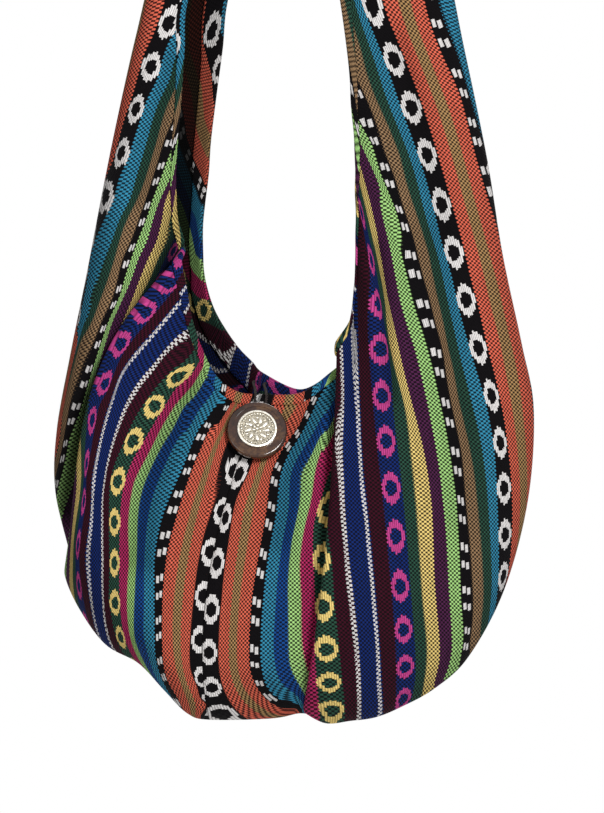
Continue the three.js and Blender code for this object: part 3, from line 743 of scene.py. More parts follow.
# Colours of the cloth, as they look in plain daylight: sRGB shares of 255.
yarn = {
    "black": (11, 9, 11),
    "orange": (230, 108, 84),
    "olive": (178, 140, 92),
    "sky": (56, 144, 178),
    "royal": (24, 76, 146),
    "lime": (172, 222, 134),
    "crimson": (192, 48, 104),
    "forest": (44, 82, 66),
    "maroon": (62, 14, 32),
    "white": (238, 234, 232),
    "navy": (20, 44, 110),
    "pink": (200, 70, 142),
    "yellow": (242, 212, 128),
    "purple": (82, 36, 74),
    "umber": (158, 126, 92),
}
stripeOrder = [
    ("black", 21), ("orange", 14), ("olive", 11), ("orange", 14), ("black", 11), ("sky", 12),
    ("royal", 11), ("lime", 13), ("crimson", 13), ("forest", 19), ("maroon", 13.5), ("maroon", 5),
    ("navy", 18), ("navy", 6), ("maroon", 15), ("navy", 18), ("forest", 13), ("yellow", 13.5),
    ("purple", 14.5), ("lime", 13), ("black", 11), ("umber", 12), ("forest", 12), ("sky", 12),
]
figureStripes = [       # stripe, yarn of its figures, kind of figure as red, green or blue
    (0, "white", (1, 0, 0)), (4, "white", (0, 1, 0)), (9, "yellow", (0.86, 0, 0)),
    (11, "white", (0, 0, 1)), (13, "white", (0, 0, 1)), (15, "pink", (0.86, 0, 0)),
    (20, "white", (0, 1, 0)),
]
stripeStarts = np.concatenate([[0], np.cumsum([width for _, width in stripeOrder])])
repeatWidth = float(stripeStarts[-1])


def linear(rgb):
    shares = [value / 255 for value in rgb]
    return tuple(s / 12.92 if s <= 0.04045 else ((s + 0.055) / 1.055) ** 2.4 for s in shares)


class NodeTree:               # short way to write node maths
    def __init__(self, tree):
        self.tree = tree

    def add(self, kind, **values):
        node = self.tree.nodes.new(kind)
        for key, value in values.items():
            setattr(node, key, value)
        return node

    def feed(self, socket, value):
        if isinstance(value, bpy.types.NodeSocket):
            self.tree.links.new(value, socket)
        else:
            socket.default_value = value

    def maths(self, operation, *inputs):
        node = self.add("ShaderNodeMath", operation=operation)
        for socket, value in zip(node.inputs, inputs):
            self.feed(socket, value)
        return node.outputs[0]

    def mix(self, share, first, second, blend="MIX"):
        node = self.add("ShaderNodeMix", data_type="RGBA", blend_type=blend)
        self.feed(node.inputs["Factor"], share)
        self.feed(node.inputs[6], first)
        self.feed(node.inputs[7], second)
        return node.outputs[2]

    def ramp(self, share, stops, interpolation="LINEAR"):
        node = self.add("ShaderNodeValToRGB")
        node.color_ramp.interpolation = interpolation
        elements = node.color_ramp.elements
        while len(elements) < len(stops):
            elements.new(0.5)
        for element, (position, colour) in zip(elements, stops):
            element.position = position
            element.color = colour
        self.feed(node.inputs[0], share)
        return node

    def noise(self, vector, scale, detail=2.0):
        node = self.add("ShaderNodeTexNoise")
        self.feed(node.inputs["Vector"], vector)
        node.inputs["Scale"].default_value = scale
        node.inputs["Detail"].default_value = detail
        return node.outputs["Fac"]

    def join(self, x, y, z=0.0):
        node = self.add("ShaderNodeCombineXYZ")
        for socket, value in zip(node.inputs, (x, y, z)):
            self.feed(socket, value)
        return node.outputs[0]


def newGroup(name, inputs, outputs):
    group = bpy.data.node_groups.new(name, "ShaderNodeTree")
    for title, kind, value in inputs:
        socket = group.interface.new_socket(title, in_out="INPUT", socket_type=kind)
        if value is not None:
            socket.default_value = value
    for title, kind in outputs:
        group.interface.new_socket(title, in_out="OUTPUT", socket_type=kind)
    tree = NodeTree(group)
    return tree, tree.add("NodeGroupInput").outputs, tree.add("NodeGroupOutput").inputs


weave = {                # half a period of the check in photo pixels, and the yarn's own noise
    "thread": 2.15,
    "pick": 2.05,
    "streak": {"squeeze": 0.06, "scale": 0.55},
    "slub": {"squeeze": 0.3, "scale": 0.35, "share": 0.7},
    "detail": 3.0,
}


def weaveGroup():
    tree, given, result = newGroup(
        "wovenThreads",
        [("Across", "NodeSocketFloat", 0.0), ("Along", "NodeSocketFloat", 0.0)],
        [("Float", "NodeSocketFloat"), ("Uneven", "NodeSocketFloat")],
    )
    columns = tree.maths("MULTIPLY", given["Across"], math.pi / weave["thread"])
    picks = tree.maths("MULTIPLY", given["Along"], math.pi / weave["pick"])
    check = tree.maths("MULTIPLY", tree.maths("SINE", columns), tree.maths("SINE", picks))
    tree.feed(result["Float"], tree.maths("MULTIPLY_ADD", check, 0.5, 0.5))
    streak, slub = weave["streak"], weave["slub"]
    drawn = tree.join(given["Across"], tree.maths("MULTIPLY", given["Along"], streak["squeeze"]))
    streaks = tree.noise(drawn, streak["scale"], weave["detail"])
    thick = tree.join(tree.maths("MULTIPLY", given["Across"], slub["squeeze"]), given["Along"])
    slubs = tree.noise(thick, slub["scale"], weave["detail"])
    tree.feed(result["Uneven"], tree.maths("ADD", streaks, tree.maths("MULTIPLY", slubs, slub["share"])))
    return tree.tree


# Woven figures in photo pixels: rings of small steps round a hole, pairs of bars that lean, and
# twisted lines of dots.
figureShape = {
    "jag": 0.7,              # step of a stripe's edge from pick to pick
    "column": 2.1,
    "row": 1.6,
    "ragged": 1.6,
    "ring": (10.9, 16.4, 0.7),      # half width, half height and how full the curve is
    "hole": (6.4, 8.2, 0.6),
    "holeRagged": -0.6,
    "bar": {"spot": 9.6, "lean": 2.6, "half": 4.0, "aside": 2.1, "halfWidth": 1.5},
    "dots": {"perPitch": 11, "gap": -0.25, "halfWidth": 2.6},
}


def figureGroup():
    shape, bar, dot = figureShape, figureShape["bar"], figureShape["dots"]
    tree, given, result = newGroup(
        "wovenFigures",
        [("Count", "NodeSocketFloat", 0.0), ("Along", "NodeSocketFloat", 0.0),
         ("Figure", "NodeSocketFloat", 0.0)],
        [("Color", "NodeSocketColor"), ("Figure Color", "NodeSocketColor"), ("Mask", "NodeSocketFloat"),
         ("Stroke", "NodeSocketFloat")],
    )
    jagged = tree.maths("SINE", tree.maths("MULTIPLY", given["Along"], math.pi / weave["pick"]))
    shifted = tree.maths("MULTIPLY_ADD", jagged, shape["jag"], tree.maths("ABSOLUTE", given["Count"]))
    shifted = tree.maths("ADD", shifted, stripeOrder[0][1] / 2)
    spot = tree.maths("FRACT", tree.maths("DIVIDE", shifted, repeatWidth))
    stops = []
    for start, (name, _) in zip(stripeStarts, stripeOrder):
        stops.append((start / repeatWidth, (*linear(yarn[name]), 1)))
    base = tree.ramp(spot, stops, "CONSTANT").outputs[0]
    figureStops, kindStops = [], []
    for index, name, kind in figureStripes:
        start, end = stripeStarts[index], stripeStarts[index + 1]
        figureStops.append((start / repeatWidth, (*linear(yarn[name]), 1)))
        kindStops.append((start / repeatWidth, (*kind, (start + end) / 2 / repeatWidth)))
        figureStops.append((end / repeatWidth, (0, 0, 0, 1)))
        kindStops.append((end / repeatWidth, (0, 0, 0, 1)))
    figureColour = tree.ramp(spot, figureStops, "CONSTANT").outputs[0]
    kinds = tree.ramp(spot, kindStops, "CONSTANT")
    split = tree.add("ShaderNodeSeparateColor")
    tree.feed(split.inputs[0], kinds.outputs[0])
    sideways = tree.maths("MULTIPLY", tree.maths("SUBTRACT", spot, kinds.outputs[1]), repeatWidth)
    sideways = tree.maths("MULTIPLY_ADD", jagged, -shape["jag"], sideways)      # figures stay straight
    phase = tree.maths("FRACT", tree.maths("ADD", given["Figure"], 0.5))
    lengthways = tree.maths("MULTIPLY", tree.maths("SUBTRACT", phase, 0.5), figurePitch)

    def stepped(value, size):
        whole = tree.maths("FLOOR", tree.maths("DIVIDE", value, size))
        return tree.maths("ABSOLUTE", tree.maths("MULTIPLY", tree.maths("ADD", whole, 0.5), size))

    def bow(value, half, height, power):
        share = tree.maths("POWER", tree.maths("DIVIDE", value, half), 2.0)
        left = tree.maths("MAXIMUM", tree.maths("SUBTRACT", 1.0, share), 0.0)
        return tree.maths("MULTIPLY", tree.maths("POWER", left, power), height)

    size = tree.maths("MAXIMUM", split.outputs[0], 0.5)
    wide = tree.maths("DIVIDE", sideways, size)
    wave = tree.maths("SINE", tree.maths("MULTIPLY", wide, math.pi / shape["column"]))
    ragged = shape["ragged"]
    ragged = tree.maths("MULTIPLY_ADD", tree.maths("GREATER_THAN", wave, 0.0), ragged, -ragged / 2)
    column = stepped(wide, shape["column"])
    row = stepped(lengthways, shape["row"])
    body = tree.maths("LESS_THAN", tree.maths("ADD", row, ragged), bow(column, *shape["ring"]))
    hole = tree.maths("MULTIPLY_ADD", ragged, shape["holeRagged"], row)
    hole = tree.maths("LESS_THAN", hole, bow(column, *shape["hole"]))
    hasRing = tree.maths("GREATER_THAN", split.outputs[0], 0.5)
    ring = tree.maths("MULTIPLY", tree.maths("SUBTRACT", body, hole), hasRing)
    aside = tree.maths("ABSOLUTE", sideways)
    isRight = tree.maths("GREATER_THAN", sideways, 0.0)
    apart = tree.maths("SUBTRACT", tree.maths("ABSOLUTE", lengthways), bar["spot"])
    lean = tree.maths("MULTIPLY_ADD", isRight, bar["lean"], -bar["lean"] / 2)
    lean = tree.maths("MULTIPLY", lean, tree.maths("SIGN", lengthways))
    tall = tree.maths("ABSOLUTE", tree.maths("SUBTRACT", apart, lean))
    thin = tree.maths("ABSOLUTE", tree.maths("SUBTRACT", aside, bar["aside"]))
    bars = tree.maths("MULTIPLY", tree.maths("LESS_THAN", tall, bar["half"]),
                      tree.maths("LESS_THAN", thin, bar["halfWidth"]))
    side = tree.maths("MULTIPLY", isRight, math.pi)
    twist = tree.maths("MULTIPLY_ADD", given["Figure"], 2 * math.pi * dot["perPitch"], side)
    dots = tree.maths("GREATER_THAN", tree.maths("SINE", twist), dot["gap"])
    dots = tree.maths("MULTIPLY", dots, tree.maths("LESS_THAN", aside, dot["halfWidth"]))
    mask = tree.maths("MULTIPLY_ADD", bars, split.outputs[1], ring)
    mask = tree.maths("MULTIPLY_ADD", dots, split.outputs[2], mask)
    tree.feed(result["Color"], base)
    tree.feed(result["Figure Color"], figureColour)
    tree.feed(result["Mask"], mask)
    tree.feed(result["Stroke"], tree.maths("ABSOLUTE", wave))
    return tree.tree


def tuckGroup():      # the narrow fold by the left rim hides the stripes that lie inside it
    tree, given, result = newGroup(
        "tuckedStripes",
        [("Count", "NodeSocketFloat", 0.0), ("Along", "NodeSocketFloat", 0.0)],
        [("Count", "NodeSocketFloat")],
    )
    foldEnd = stripes["hidden"][0][1]
    edge = foldEnd
    for (low, above), (high, below) in zip(stripes["hidden"], stripes["hidden"][1:]):
        share = tree.maths("DIVIDE", tree.maths("SUBTRACT", given["Along"], low), high - low)
        share = tree.maths("MAXIMUM", tree.maths("MINIMUM", share, 1.0), 0.0)
        edge = tree.maths("MULTIPLY_ADD", share, below - above, edge)
    past = tree.maths("GREATER_THAN", given["Count"], edge)
    hidden = tree.maths("SUBTRACT", foldEnd, edge)
    tree.feed(result["Count"], tree.maths("MULTIPLY_ADD", past, hidden, given["Count"]))
    return tree.tree


groups = {"weave": weaveGroup(), "figures": figureGroup(), "tuck": tuckGroup()}


def newMaterial(name):
    material = bpy.data.materials.new(name)
    material.use_nodes = True
    tree = NodeTree(material.node_tree)
    shader = material.node_tree.nodes["Principled BSDF"]
    return material, tree, shader


def addBump(tree, shader, height, strength, distance):
    bump = tree.add("ShaderNodeBump")
    bump.inputs["Strength"].default_value = strength
    bump.inputs["Distance"].default_value = distance
    tree.feed(bump.inputs["Height"], height)
    tree.feed(shader.inputs["Normal"], bump.outputs[0])


def wovenMaterial(name, values):
    material, tree, shader = newMaterial(name)
    uv = tree.add("ShaderNodeUVMap", uv_map="stripes")
    split = tree.add("ShaderNodeSeparateXYZ")
    tree.feed(split.inputs[0], uv.outputs[0])
    count = tree.maths("MULTIPLY", split.outputs[0], 100.0)
    along = tree.maths("MULTIPLY", split.outputs[1], 100.0)
    if values["tucked"]:
        tuck = tree.add("ShaderNodeGroup", node_tree=groups["tuck"])
        tree.feed(tuck.inputs["Count"], count)
        tree.feed(tuck.inputs["Along"], along)
        count = tuck.outputs["Count"]
    figure = tree.add("ShaderNodeAttribute", attribute_name="figure")
    threads = tree.add("ShaderNodeGroup", node_tree=groups["weave"])
    tree.feed(threads.inputs["Across"], count)
    tree.feed(threads.inputs["Along"], along)
    figures = tree.add("ShaderNodeGroup", node_tree=groups["figures"])
    tree.feed(figures.inputs["Count"], count)
    tree.feed(figures.inputs["Along"], along)
    tree.feed(figures.inputs["Figure"], figure.outputs["Fac"])
    ground = figures.outputs["Color"]
    weft = tree.mix(values["weftShare"], ground, (*linear(values["weft"]), 1))
    # painted shade: a shade below 1 darkens the whole cloth, for the shaded copies on the inside and on the
    # hem
    ground = tree.mix(1.0, ground, (*[values["shade"]] * 3, 1), "MULTIPLY")
    stops = [(values["floatLow"], (0, 0, 0, 1)), (values["floatHigh"], (1, 1, 1, 1))]
    floats = tree.ramp(threads.outputs["Float"], stops)
    woven = tree.mix(floats.outputs[0], weft, ground)
    span, base = (share * values["shade"] for share in values["stroke"])
    stroke = tree.maths("MULTIPLY_ADD", figures.outputs["Stroke"], span, base)
    bright = tree.mix(1.0, figures.outputs["Figure Color"], stroke, "MULTIPLY")
    coloured = tree.mix(figures.outputs["Mask"], woven, bright)
    level = 1 - values["uneven"] * 0.85       # 0.85 is the mean of the yarn's noise
    uneven = tree.maths("MULTIPLY_ADD", threads.outputs["Uneven"], values["uneven"], level)
    coloured = tree.mix(1.0, coloured, uneven, "MULTIPLY")
    if values["dusk"] < 1:       # little light gets in between the two sides of the strap
        spot = tree.add("ShaderNodeSeparateXYZ")
        tree.feed(spot.inputs[0], tree.add("ShaderNodeTexCoord").outputs["Object"])
        opened = tree.maths("MULTIPLY_ADD", spot.outputs[2], *values["duskByHeight"])
        opened = tree.maths("MINIMUM", tree.maths("MAXIMUM", opened, values["dusk"]), 1.0)
        coloured = tree.mix(1.0, coloured, opened, "MULTIPLY")
    paintedFoldShade = tree.add("ShaderNodeAttribute", attribute_name="paintedFoldShade")      # painted shade darkens the cloth along folds that lie in
    paintedFoldShade = tree.maths("MULTIPLY_ADD", paintedFoldShade.outputs["Fac"], -values["paintedFoldShade"], 1.0)
    coloured = tree.mix(1.0, coloured, paintedFoldShade, "MULTIPLY")
    tree.feed(shader.inputs["Base Color"], coloured)
    shader.inputs["Roughness"].default_value = values["roughness"]
    shader.inputs["Specular IOR Level"].default_value = 0.1
    height = tree.maths("ADD", threads.outputs["Float"], tree.maths("MULTIPLY", figures.outputs["Mask"], 0.6))
    height = tree.maths("MULTIPLY_ADD", threads.outputs["Uneven"], 0.5, height)
    addBump(tree, shader, height, values["bump"], values["bumpDepth"])
    return material


wovenLook = {"weft": (12, 9, 12), "weftShare": 0.93, "floatLow": 0.46, "floatHigh": 0.56, "shade": 1.0,
             "stroke": (0.7, 0.36), "uneven": 0.6, "roughness": 0.95, "bump": 0.8, "bumpDepth": 0.0006,
             "tucked": False, "dusk": 1.0, "duskByHeight": (-18.0, -7.7), "paintedFoldShade": 0.8}
# Inside: more dark weft shows on the wrong side of the cloth, and shade and dusk are painted shade for the
# dark mouth and strap.
insideLook = dict(wovenLook, weftShare=0.95, floatLow=0.4, floatHigh=0.8, shade=0.42, dusk=0.1)
cloths = {
    "right_panel": [wovenMaterial("wovenCloth", wovenLook), wovenMaterial("wovenInside", insideLook)],
    "left_panel": [wovenMaterial("tuckedCloth", dict(wovenLook, tucked=True))],
    "front_binding": [wovenMaterial("bindingCloth", dict(wovenLook, bump=0.6))],
    # painted shade: the hem is a darker copy of the cloth, shade 0.75
    "back_hem": [wovenMaterial("hemCloth", dict(wovenLook, shade=0.75, floatLow=0.4, floatHigh=0.75))],
}
cloths["left_panel"].append(cloths["right_panel"][1])

pieces = {}
pieces["right_panel"] = panelPiece("right_cloth", 0, cloth["strapTop"], rightFigures)
pieces["left_panel"] = panelPiece("left_cloth", cloth["strapTop"], len(ribs), leftFigures)
pieces["front_binding"] = stripPiece(
    "front_edge_binding", strips["front"], 10, lambda edge: edgeCounts(edge, frontEdgeCounts))
pieces["back_hem"] = stripPiece(
    "back_edge_hem", strips["back"], 10,
    lambda edge: np.interp(pixelsOf(edge)[:, 1], *zip(*backEdge)))
for node, piece in pieces.items():
    for material in cloths[node]:
        piece.data.materials.append(material)
    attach(piece, "root")
    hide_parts(node)
print("cloth pieces ready")


# Button, medallion, thread shank and cord loop, in millimetres. The button, medallion and shank are built
# round the seat's middle, facing up, and then turned and moved on to the cloth below the mouth; the loop is
# built where it lies.
seat = {"rib": -0.05, "belowMouth": 36, "shank": 1.2, "button": 6.9, "medallion": 12.5}


def clothFrameAt(place, turn, small=1e-4):
    middle = clothPoint(place, turn, ribs)
    along = clothPoint(place + small, turn, ribs) - clothPoint(place - small, turn, ribs)
    over = clothPoint(place, turn + small, ribs) - clothPoint(place, turn - small, ribs)
    along, over = along / np.linalg.norm(along), over / np.linalg.norm(over)
    out = np.cross(over, along)
    return {"middle": middle, "over": over, "out": out / np.linalg.norm(out)}


def widthShare(place, edge, width):
    step = clothPoint(place, edge * 0.98, ribs) - clothPoint(place, edge * 1.0, ribs)
    return 0.02 * width / np.linalg.norm(step)


def buttonSeat():
    share = widthShare(seat["rib"], -1, seat["belowMouth"])
    return clothFrameAt(seat["rib"], -1 + share)


seatFrame = buttonSeat()
seatSide = np.cross(-seatFrame["over"], seatFrame["out"])
seatSide /= np.linalg.norm(seatSide)
seatUp = np.cross(seatFrame["out"], seatSide)


def putOnCloth(piece, height):
    spot = (seatFrame["middle"] + seatFrame["out"] * height) / 1000
    columns = [(*seatSide, 0), (*seatUp, 0), (*seatFrame["out"], 0), (*spot, 1)]
    bpy.ops.object.select_all(action="DESELECT")
    piece.select_set(True)
    bpy.context.view_layer.objects.active = piece
    piece.matrix_world = Matrix(columns).transposed()
    bpy.ops.object.transform_apply(location=True, rotation=True, scale=True)


def added(operator, name, material, **values):
    bpy.ops.object.select_all(action="DESELECT")
    operator(**values)
    piece = bpy.context.object
    piece.name = name
    piece.data.materials.append(material)
    return piece


def joined(pieces):
    bpy.ops.object.select_all(action="DESELECT")
    for piece in pieces:
        piece.select_set(True)
    bpy.context.view_layer.objects.active = pieces[0]
    bpy.ops.object.transform_apply(location=True, rotation=True, scale=True)
    bpy.ops.object.join()
    return bpy.context.object


def bevelled(piece, width, segments):
    bevel = piece.modifiers.new("edges", "BEVEL")
    bevel.width = width / 1000
    bevel.segments = segments
    bevel.limit_method = "ANGLE"
    bpy.context.view_layer.objects.active = piece
    bpy.ops.object.modifier_apply(modifier="edges")


def smoothed(piece, degrees=35):
    bpy.ops.object.select_all(action="DESELECT")
    piece.select_set(True)
    bpy.context.view_layer.objects.active = piece
    bpy.ops.object.shade_smooth_by_angle(angle=math.radians(degrees))


def topSunk(piece, height, inset, drop):      # the face at this height is inset and moved down
    bpy.ops.object.select_all(action="DESELECT")
    piece.select_set(True)
    bpy.context.view_layer.objects.active = piece
    bpy.ops.object.mode_set(mode="EDIT")
    bpy.ops.mesh.select_all(action="DESELECT")
    shape = bmesh.from_edit_mesh(piece.data)
    for face in shape.faces:
        face.select_set(len(face.verts) > 8 and abs(face.calc_center_median().z - height / 1000) < 2e-5)
    bmesh.update_edit_mesh(piece.data)
    bpy.ops.mesh.inset(thickness=inset / 1000)
    bpy.ops.mesh.extrude_region_move(TRANSFORM_OT_translate={"value": (0, 0, -drop / 1000)})
    bpy.ops.object.mode_set(mode="OBJECT")


def objectSpot(tree):
    return tree.add("ShaderNodeTexCoord").outputs["Object"]


shellLook = {"dark": (16, 8, 6), "brown": (60, 34, 24), "olive": (98, 68, 42), "roughness": 0.12,
             "patches": (70.0, 3.0), "grain": (420.0, 4.0), "bumps": (160.0, 2.0)}      # scale, detail


def shellMaterial(values):
    material, tree, shader = newMaterial("darkShell")
    spot = objectSpot(tree)
    patches = tree.noise(spot, *values["patches"])
    grain = tree.noise(spot, *values["grain"])
    shade = tree.maths("MULTIPLY_ADD", grain, 0.35, tree.maths("MULTIPLY", patches, 0.8))
    colours = tree.ramp(shade, [
        (0.36, (*linear(values["dark"]), 1)),
        (0.58, (*linear(values["brown"]), 1)),
        (0.72, (*linear(values["olive"]), 1)),
    ])
    tree.feed(shader.inputs["Base Color"], colours.outputs[0])
    shader.inputs["Roughness"].default_value = values["roughness"]
    addBump(tree, shader, tree.noise(spot, *values["bumps"]), 0.35, 0.0004)
    return material


# Finishes of two colours mixed by a fine grain, for the medallion and the thread.
silverLook = {"low": (178, 170, 152), "high": (248, 244, 234), "stops": (0.3, 0.62), "grain": (900.0, 4.0),
              "metallic": 1.0, "roughness": 0.3, "bump": 0.3}
patinaLook = dict(silverLook, low=(44, 38, 32), high=silverLook["low"], metallic=0.7, roughness=0.55)
threadLook = {"low": (20, 15, 15), "high": (52, 40, 38), "stops": (0.35, 0.7), "grain": (1500.0, 3.0),
              "metallic": 0.0, "roughness": 0.85, "bump": 0.6}


def grainedMaterial(name, values):
    material, tree, shader = newMaterial(name)
    grain = tree.noise(objectSpot(tree), *values["grain"])
    stops = [(spot, (*linear(values[key]), 1)) for spot, key in zip(values["stops"], ("low", "high"))]
    tree.feed(shader.inputs["Base Color"], tree.ramp(grain, stops).outputs[0])
    shader.inputs["Metallic"].default_value = values["metallic"]
    shader.inputs["Roughness"].default_value = values["roughness"]
    addBump(tree, shader, grain, values["bump"], 0.0002)
    return material


darkShell = shellMaterial(shellLook)
agedSilver = grainedMaterial("agedSilver", silverLook)
darkPatina = grainedMaterial("darkPatina", patinaLook)
darkThread = grainedMaterial("darkThread", threadLook)

buttonShape = {"radius": 25, "thickness": 6.5, "pocket": 16.8, "recess": 1.2, "edge": 2.2, "lip": 2.4,
               "groove": 0.5}


def buttonPiece(values):
    piece = added(bpy.ops.mesh.primitive_cylinder_add, "shell_button", darkShell, vertices=96,
                  radius=values["radius"] / 1000, depth=values["thickness"] / 1000,
                  location=(0, 0, values["thickness"] / 2000))
    bpy.ops.object.transform_apply(location=True, rotation=True, scale=True)
    bevelled(piece, values["edge"], 6)
    flat = values["radius"] - values["edge"] - values["lip"]
    topSunk(piece, values["thickness"], values["lip"], values["groove"])
    topSunk(piece, values["thickness"] - values["groove"], flat - values["pocket"],
            values["recess"] - values["groove"])
    smoothed(piece)
    return piece


medallionShape = {"radius": 16.5, "thickness": 2.6, "rim": 1.7, "field": 1.1, "beads": 36, "beadRing": 13.2,
                  "petals": 9, "petalRing": 7.6, "innerPetals": 6, "innerRing": 3.0, "edge": 0.5,
                  "bead": (0.85, 0.85, 0.9), "petal": (3.4, 1.5, 0.95), "seed": (1.3, 0.9, 0.8),
                  "innerPetal": (1.5, 0.9, 1.0), "boss": (1.5, 1.5, 1.3)}


def medallionPiece(values):
    disc = added(bpy.ops.mesh.primitive_cylinder_add, "medallion_relief", agedSilver, vertices=96,
                 radius=values["radius"] / 1000, depth=values["thickness"] / 1000,
                 location=(0, 0, values["thickness"] / 2000))
    bpy.ops.object.transform_apply(location=True, rotation=True, scale=True)
    bevelled(disc, values["edge"], 3)
    topSunk(disc, values["thickness"], values["rim"] - values["edge"], values["field"])
    disc.data.materials.append(darkPatina)
    field = (values["thickness"] - values["field"]) / 1000
    for face in disc.data.polygons:
        if abs(face.center.z - field) < 1e-5:
            face.material_index = 1
    parts = [disc]

    def sphere(ring, angle, scale, lift, turnBy=0.0):
        x, y = ring * math.cos(angle) / 1000, ring * math.sin(angle) / 1000
        parts.append(added(bpy.ops.mesh.primitive_uv_sphere_add, "bead", agedSilver, segments=16,
                           ring_count=10, radius=1.0, location=(x, y, field + lift / 1000),
                           rotation=(0, 0, angle + turnBy), scale=[size / 1000 for size in scale]))

    for index in range(values["beads"]):
        sphere(values["beadRing"], 2 * math.pi * index / values["beads"], values["bead"], 0.1)
    for index in range(values["petals"]):
        angle = 2 * math.pi * index / values["petals"]
        sphere(values["petalRing"], angle, values["petal"], 0.05, 0.28)
        sphere(values["petalRing"] + 2.4, angle + math.pi / values["petals"], values["seed"], 0.05)
    for index in range(values["innerPetals"]):
        angle = 2 * math.pi * (index + 0.5) / values["innerPetals"]
        sphere(values["innerRing"], angle, values["innerPetal"], 0.1, -0.3)
    sphere(0, 0, values["boss"], 0.0)
    piece = joined(parts)
    smoothed(piece)
    return piece


shankShape = {"radius": 3.0, "height": 5.4, "wraps": 6, "threads": 0.55}


def shankPiece(values):
    core = added(bpy.ops.mesh.primitive_cylinder_add, "shank_threads", darkThread, vertices=32,
                 radius=(values["radius"] - values["threads"]) / 1000, depth=values["height"] / 1000,
                 location=(0, 0, values["height"] / 2000))
    parts = [core]
    for index in range(values["wraps"]):
        climb = (values["height"] - 2 * values["threads"]) * index / (values["wraps"] - 1)
        height = values["threads"] + climb
        parts.append(added(bpy.ops.mesh.primitive_torus_add, "wrap", darkThread, major_segments=32,
                           minor_segments=8, major_radius=(values["radius"] - values["threads"]) / 1000,
                           minor_radius=values["threads"] / 1000, location=(0, 0, height / 1000)))
    piece = joined(parts)
    smoothed(piece)
    return piece


loop = {"diameter": 2.6, "binding": 9, "bindingThick": 1.1, "hem": 22, "gap": 0.3, "shank": 6,
        "slackCloth": 0.6, "slackBinding": 1.4, "slackEdge": 2.2, "tail": 3,
        "bends": (-1.5, -0.75, 0, 0.75, 1.5),
        "strand": 0.72, "pitch": 4.5, "rings": 260, "sides": 10}


def loopRoute(values):       # out of the back hem, over the front edge and round the button's shank
    radius = values["diameter"] / 2
    orbit = values["shank"] / 2 + radius + values["gap"]
    lift = cloth["thickness"] / 2 + values["gap"] + radius + values["slackCloth"]
    overBinding = cloth["thickness"] / 2 + values["gap"] + values["bindingThick"] + radius
    overBinding += values["slackBinding"]
    pastEdge = values["gap"] + values["bindingThick"] + radius + values["slackEdge"]
    place = seat["rib"]
    frontEdge = clothFrameAt(place, -1.0)
    underBinding = clothFrameAt(place, -1 + widthShare(place, -1, values["binding"] * 0.6))
    backHem = clothFrameAt(place, 1 - widthShare(place, 1, values["hem"] * 0.3))
    down = seatFrame["over"]
    side = np.cross(seatFrame["out"], down)
    side /= np.linalg.norm(side)

    def beside(spot, rise, reach, sign):
        return spot["middle"] + side * sign * orbit + spot["out"] * rise + spot["over"] * reach

    def strand(sign):
        return [
            beside(backHem, -(overBinding - radius - values["gap"]), 0, sign),
            beside(backHem, -(overBinding + values["tail"]), 0, sign),
            beside(frontEdge, 0, -pastEdge, sign),
            beside(frontEdge, overBinding, 0, sign),
            beside(underBinding, overBinding, 0, sign),
        ]

    bends = [seatFrame["middle"] + side * orbit * math.sin(angle) + down * orbit * math.cos(angle)
             + seatFrame["out"] * lift for angle in values["bends"]]
    return np.array([*strand(-1), *bends, *strand(1)[::-1]])


def smoothRoute(knots, steps=40):
    padded = np.concatenate([[2 * knots[0] - knots[1]], knots, [2 * knots[-1] - knots[-2]]])
    spots = []
    for before, start, end, after in zip(padded, padded[1:], padded[2:], padded[3:]):
        for part in np.linspace(0, 1, steps, endpoint=False):
            bend = 2 * before - 5 * start + 4 * end - after
            twist = 3 * (start - end) + after - before
            spots.append(start + 0.5 * part * (end - before + part * (bend + part * twist)))
    spots.append(knots[-1])
    return np.array(spots)


def cordPiece(values):       # two twisted strands
    route = smoothRoute(loopRoute(values))
    walked = np.concatenate([[0], np.cumsum(np.linalg.norm(np.diff(route, axis=0), axis=1))])
    distances = np.linspace(0, walked[-1], values["rings"])
    middle = np.stack([np.interp(distances, walked, route[:, axis]) for axis in range(3)], 1)
    ahead = np.gradient(middle, axis=0)
    ahead /= np.linalg.norm(ahead, axis=1, keepdims=True)
    first = [np.cross(ahead[0], seatFrame["out"])]
    for step in ahead[1:]:
        kept = first[-1] - step * (first[-1] @ step)
        first.append(kept / np.linalg.norm(kept))
    first = np.array(first)
    second = np.cross(ahead, first)
    off = values["diameter"] / 2 - values["strand"]
    allPoints, allQuads = [], []
    for index in range(2):
        turn = 2 * math.pi * distances / values["pitch"] + math.pi * index
        centre = middle + off * (first * np.cos(turn)[:, None] + second * np.sin(turn)[:, None])
        around = np.linspace(0, 2 * math.pi, values["sides"], endpoint=False)
        rings = centre[:, None] + values["strand"] * (
            first[:, None] * np.cos(around)[None, :, None] + second[:, None] * np.sin(around)[None, :, None])
        ids = np.arange(rings[..., 0].size).reshape(rings.shape[:2])
        beside = np.roll(ids, -1, 1)
        quads = np.stack([ids[:-1], beside[:-1], beside[1:], ids[1:]], -1).reshape(-1, 4)
        quads = facingOut(rings.reshape(-1, 3), quads)
        allQuads.append(quads + index * ids.size)
        allPoints.append(rings.reshape(-1, 3))
    points = np.concatenate(allPoints)
    piece = addMesh("twisted_loop", points, np.concatenate(allQuads), np.zeros((len(points), 2)),
                    np.zeros(len(points)))
    piece.data.materials.append(darkThread)
    print("cord loop", round(float(walked[-1]), 1), "mm long")
    return piece


fittings = {
    "button": (buttonPiece(buttonShape), "button_shell", seat["button"]),
    "medallion": (medallionPiece(medallionShape), "medallion_metal", seat["medallion"]),
    "thread_shank": (shankPiece(shankShape), "cord", seat["shank"]),
    "closing_loop": (cordPiece(loop), "cord", None),
}
for node, (piece, slot, height) in fittings.items():
    if height is not None:
        putOnCloth(piece, height)
    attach(piece, "root")
    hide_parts(node)
print("button, medallion, shank and loop ready")


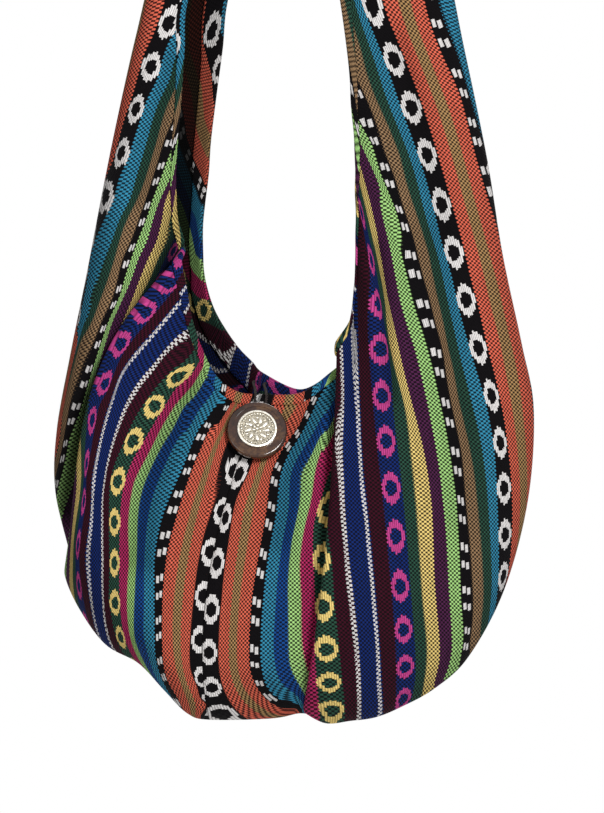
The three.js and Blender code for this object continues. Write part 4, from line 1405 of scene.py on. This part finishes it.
# Stage: a plain pale floor well below the hanging bag, white all round, soft lamps and the camera.
stage = {"floorDrop": 1.9, "floorSize": 14.0, "floor": (0.9, 0.9, 0.9), "ambient": 0.16}
lamps = {                # metres and watts, all turned to the middle of the bag
    "key": {"place": (1.0, -2.6, 0.6), "size": 0.8, "power": 70},
    "fill": {"place": (-1.5, -2.4, -0.2), "size": 1.4, "power": 10},
    "rear": {"place": (0.2, 2.2, 0.6), "size": 2.0, "power": 50},
}


def seenWhite(tree):          # 1 where the camera, a reflection or clear glass looks straight at it
    path = tree.add("ShaderNodeLightPath")
    seen = tree.maths("MAXIMUM", path.outputs["Is Camera Ray"], path.outputs["Is Glossy Ray"])
    return tree.maths("MAXIMUM", seen, path.outputs["Is Transmission Ray"])


def buildStage():
    bpy.ops.object.select_all(action="DESELECT")
    bpy.ops.mesh.primitive_plane_add(size=stage["floorSize"], location=(0, 0, -stage["floorDrop"]))
    floor = bpy.context.object
    floor.name = "floor"
    material, tree, shader = newMaterial("paleFloor")
    shader.inputs["Base Color"].default_value = (*stage["floor"], 1)
    shader.inputs["Roughness"].default_value = 0.9
    floor.data.materials.append(material)
    world = bpy.data.worlds.new("studio")
    scene.world = world
    world.use_nodes = True
    tree = NodeTree(world.node_tree)
    plain = world.node_tree.nodes["Background"]
    plain.inputs[0].default_value = (1, 1, 1, 1)
    ambient = stage["ambient"]
    tree.feed(plain.inputs[1], tree.maths("MULTIPLY_ADD", seenWhite(tree), 1 - ambient, ambient))


def addLamp(name, values, target):
    light = bpy.data.lights.new(name, "AREA")
    light.size = values["size"]
    light.energy = values["power"]
    lamp = bpy.data.objects.new(name, light)
    lamp.location = values["place"]
    lamp.rotation_euler = (Vector(target) - Vector(values["place"])).to_track_quat("-Z", "Y").to_euler()
    scene.collection.objects.link(lamp)


def addCamera():
    camera = bpy.data.cameras.new("camera")
    camera.type = "PERSP"
    camera.sensor_width = photo["sensor"]
    camera.lens = photo["sensor"] * photo["distance"] / (photo["height"] * photo["mmPerPixel"])
    camera.clip_end = 50
    holder = bpy.data.objects.new("camera", camera)
    holder.location = (photo["aim"][0] / 1000, -photo["distance"] / 1000, photo["aim"][1] / 1000)
    holder.rotation_euler = (math.pi / 2, 0, 0)
    scene.collection.objects.link(holder)
    scene.camera = holder


buildStage()
for lampName, lampValues in lamps.items():
    addLamp(lampName, lampValues, (0, 0, -0.5))
addCamera()
scene.view_settings.view_transform = "Standard"
print("stage ready")
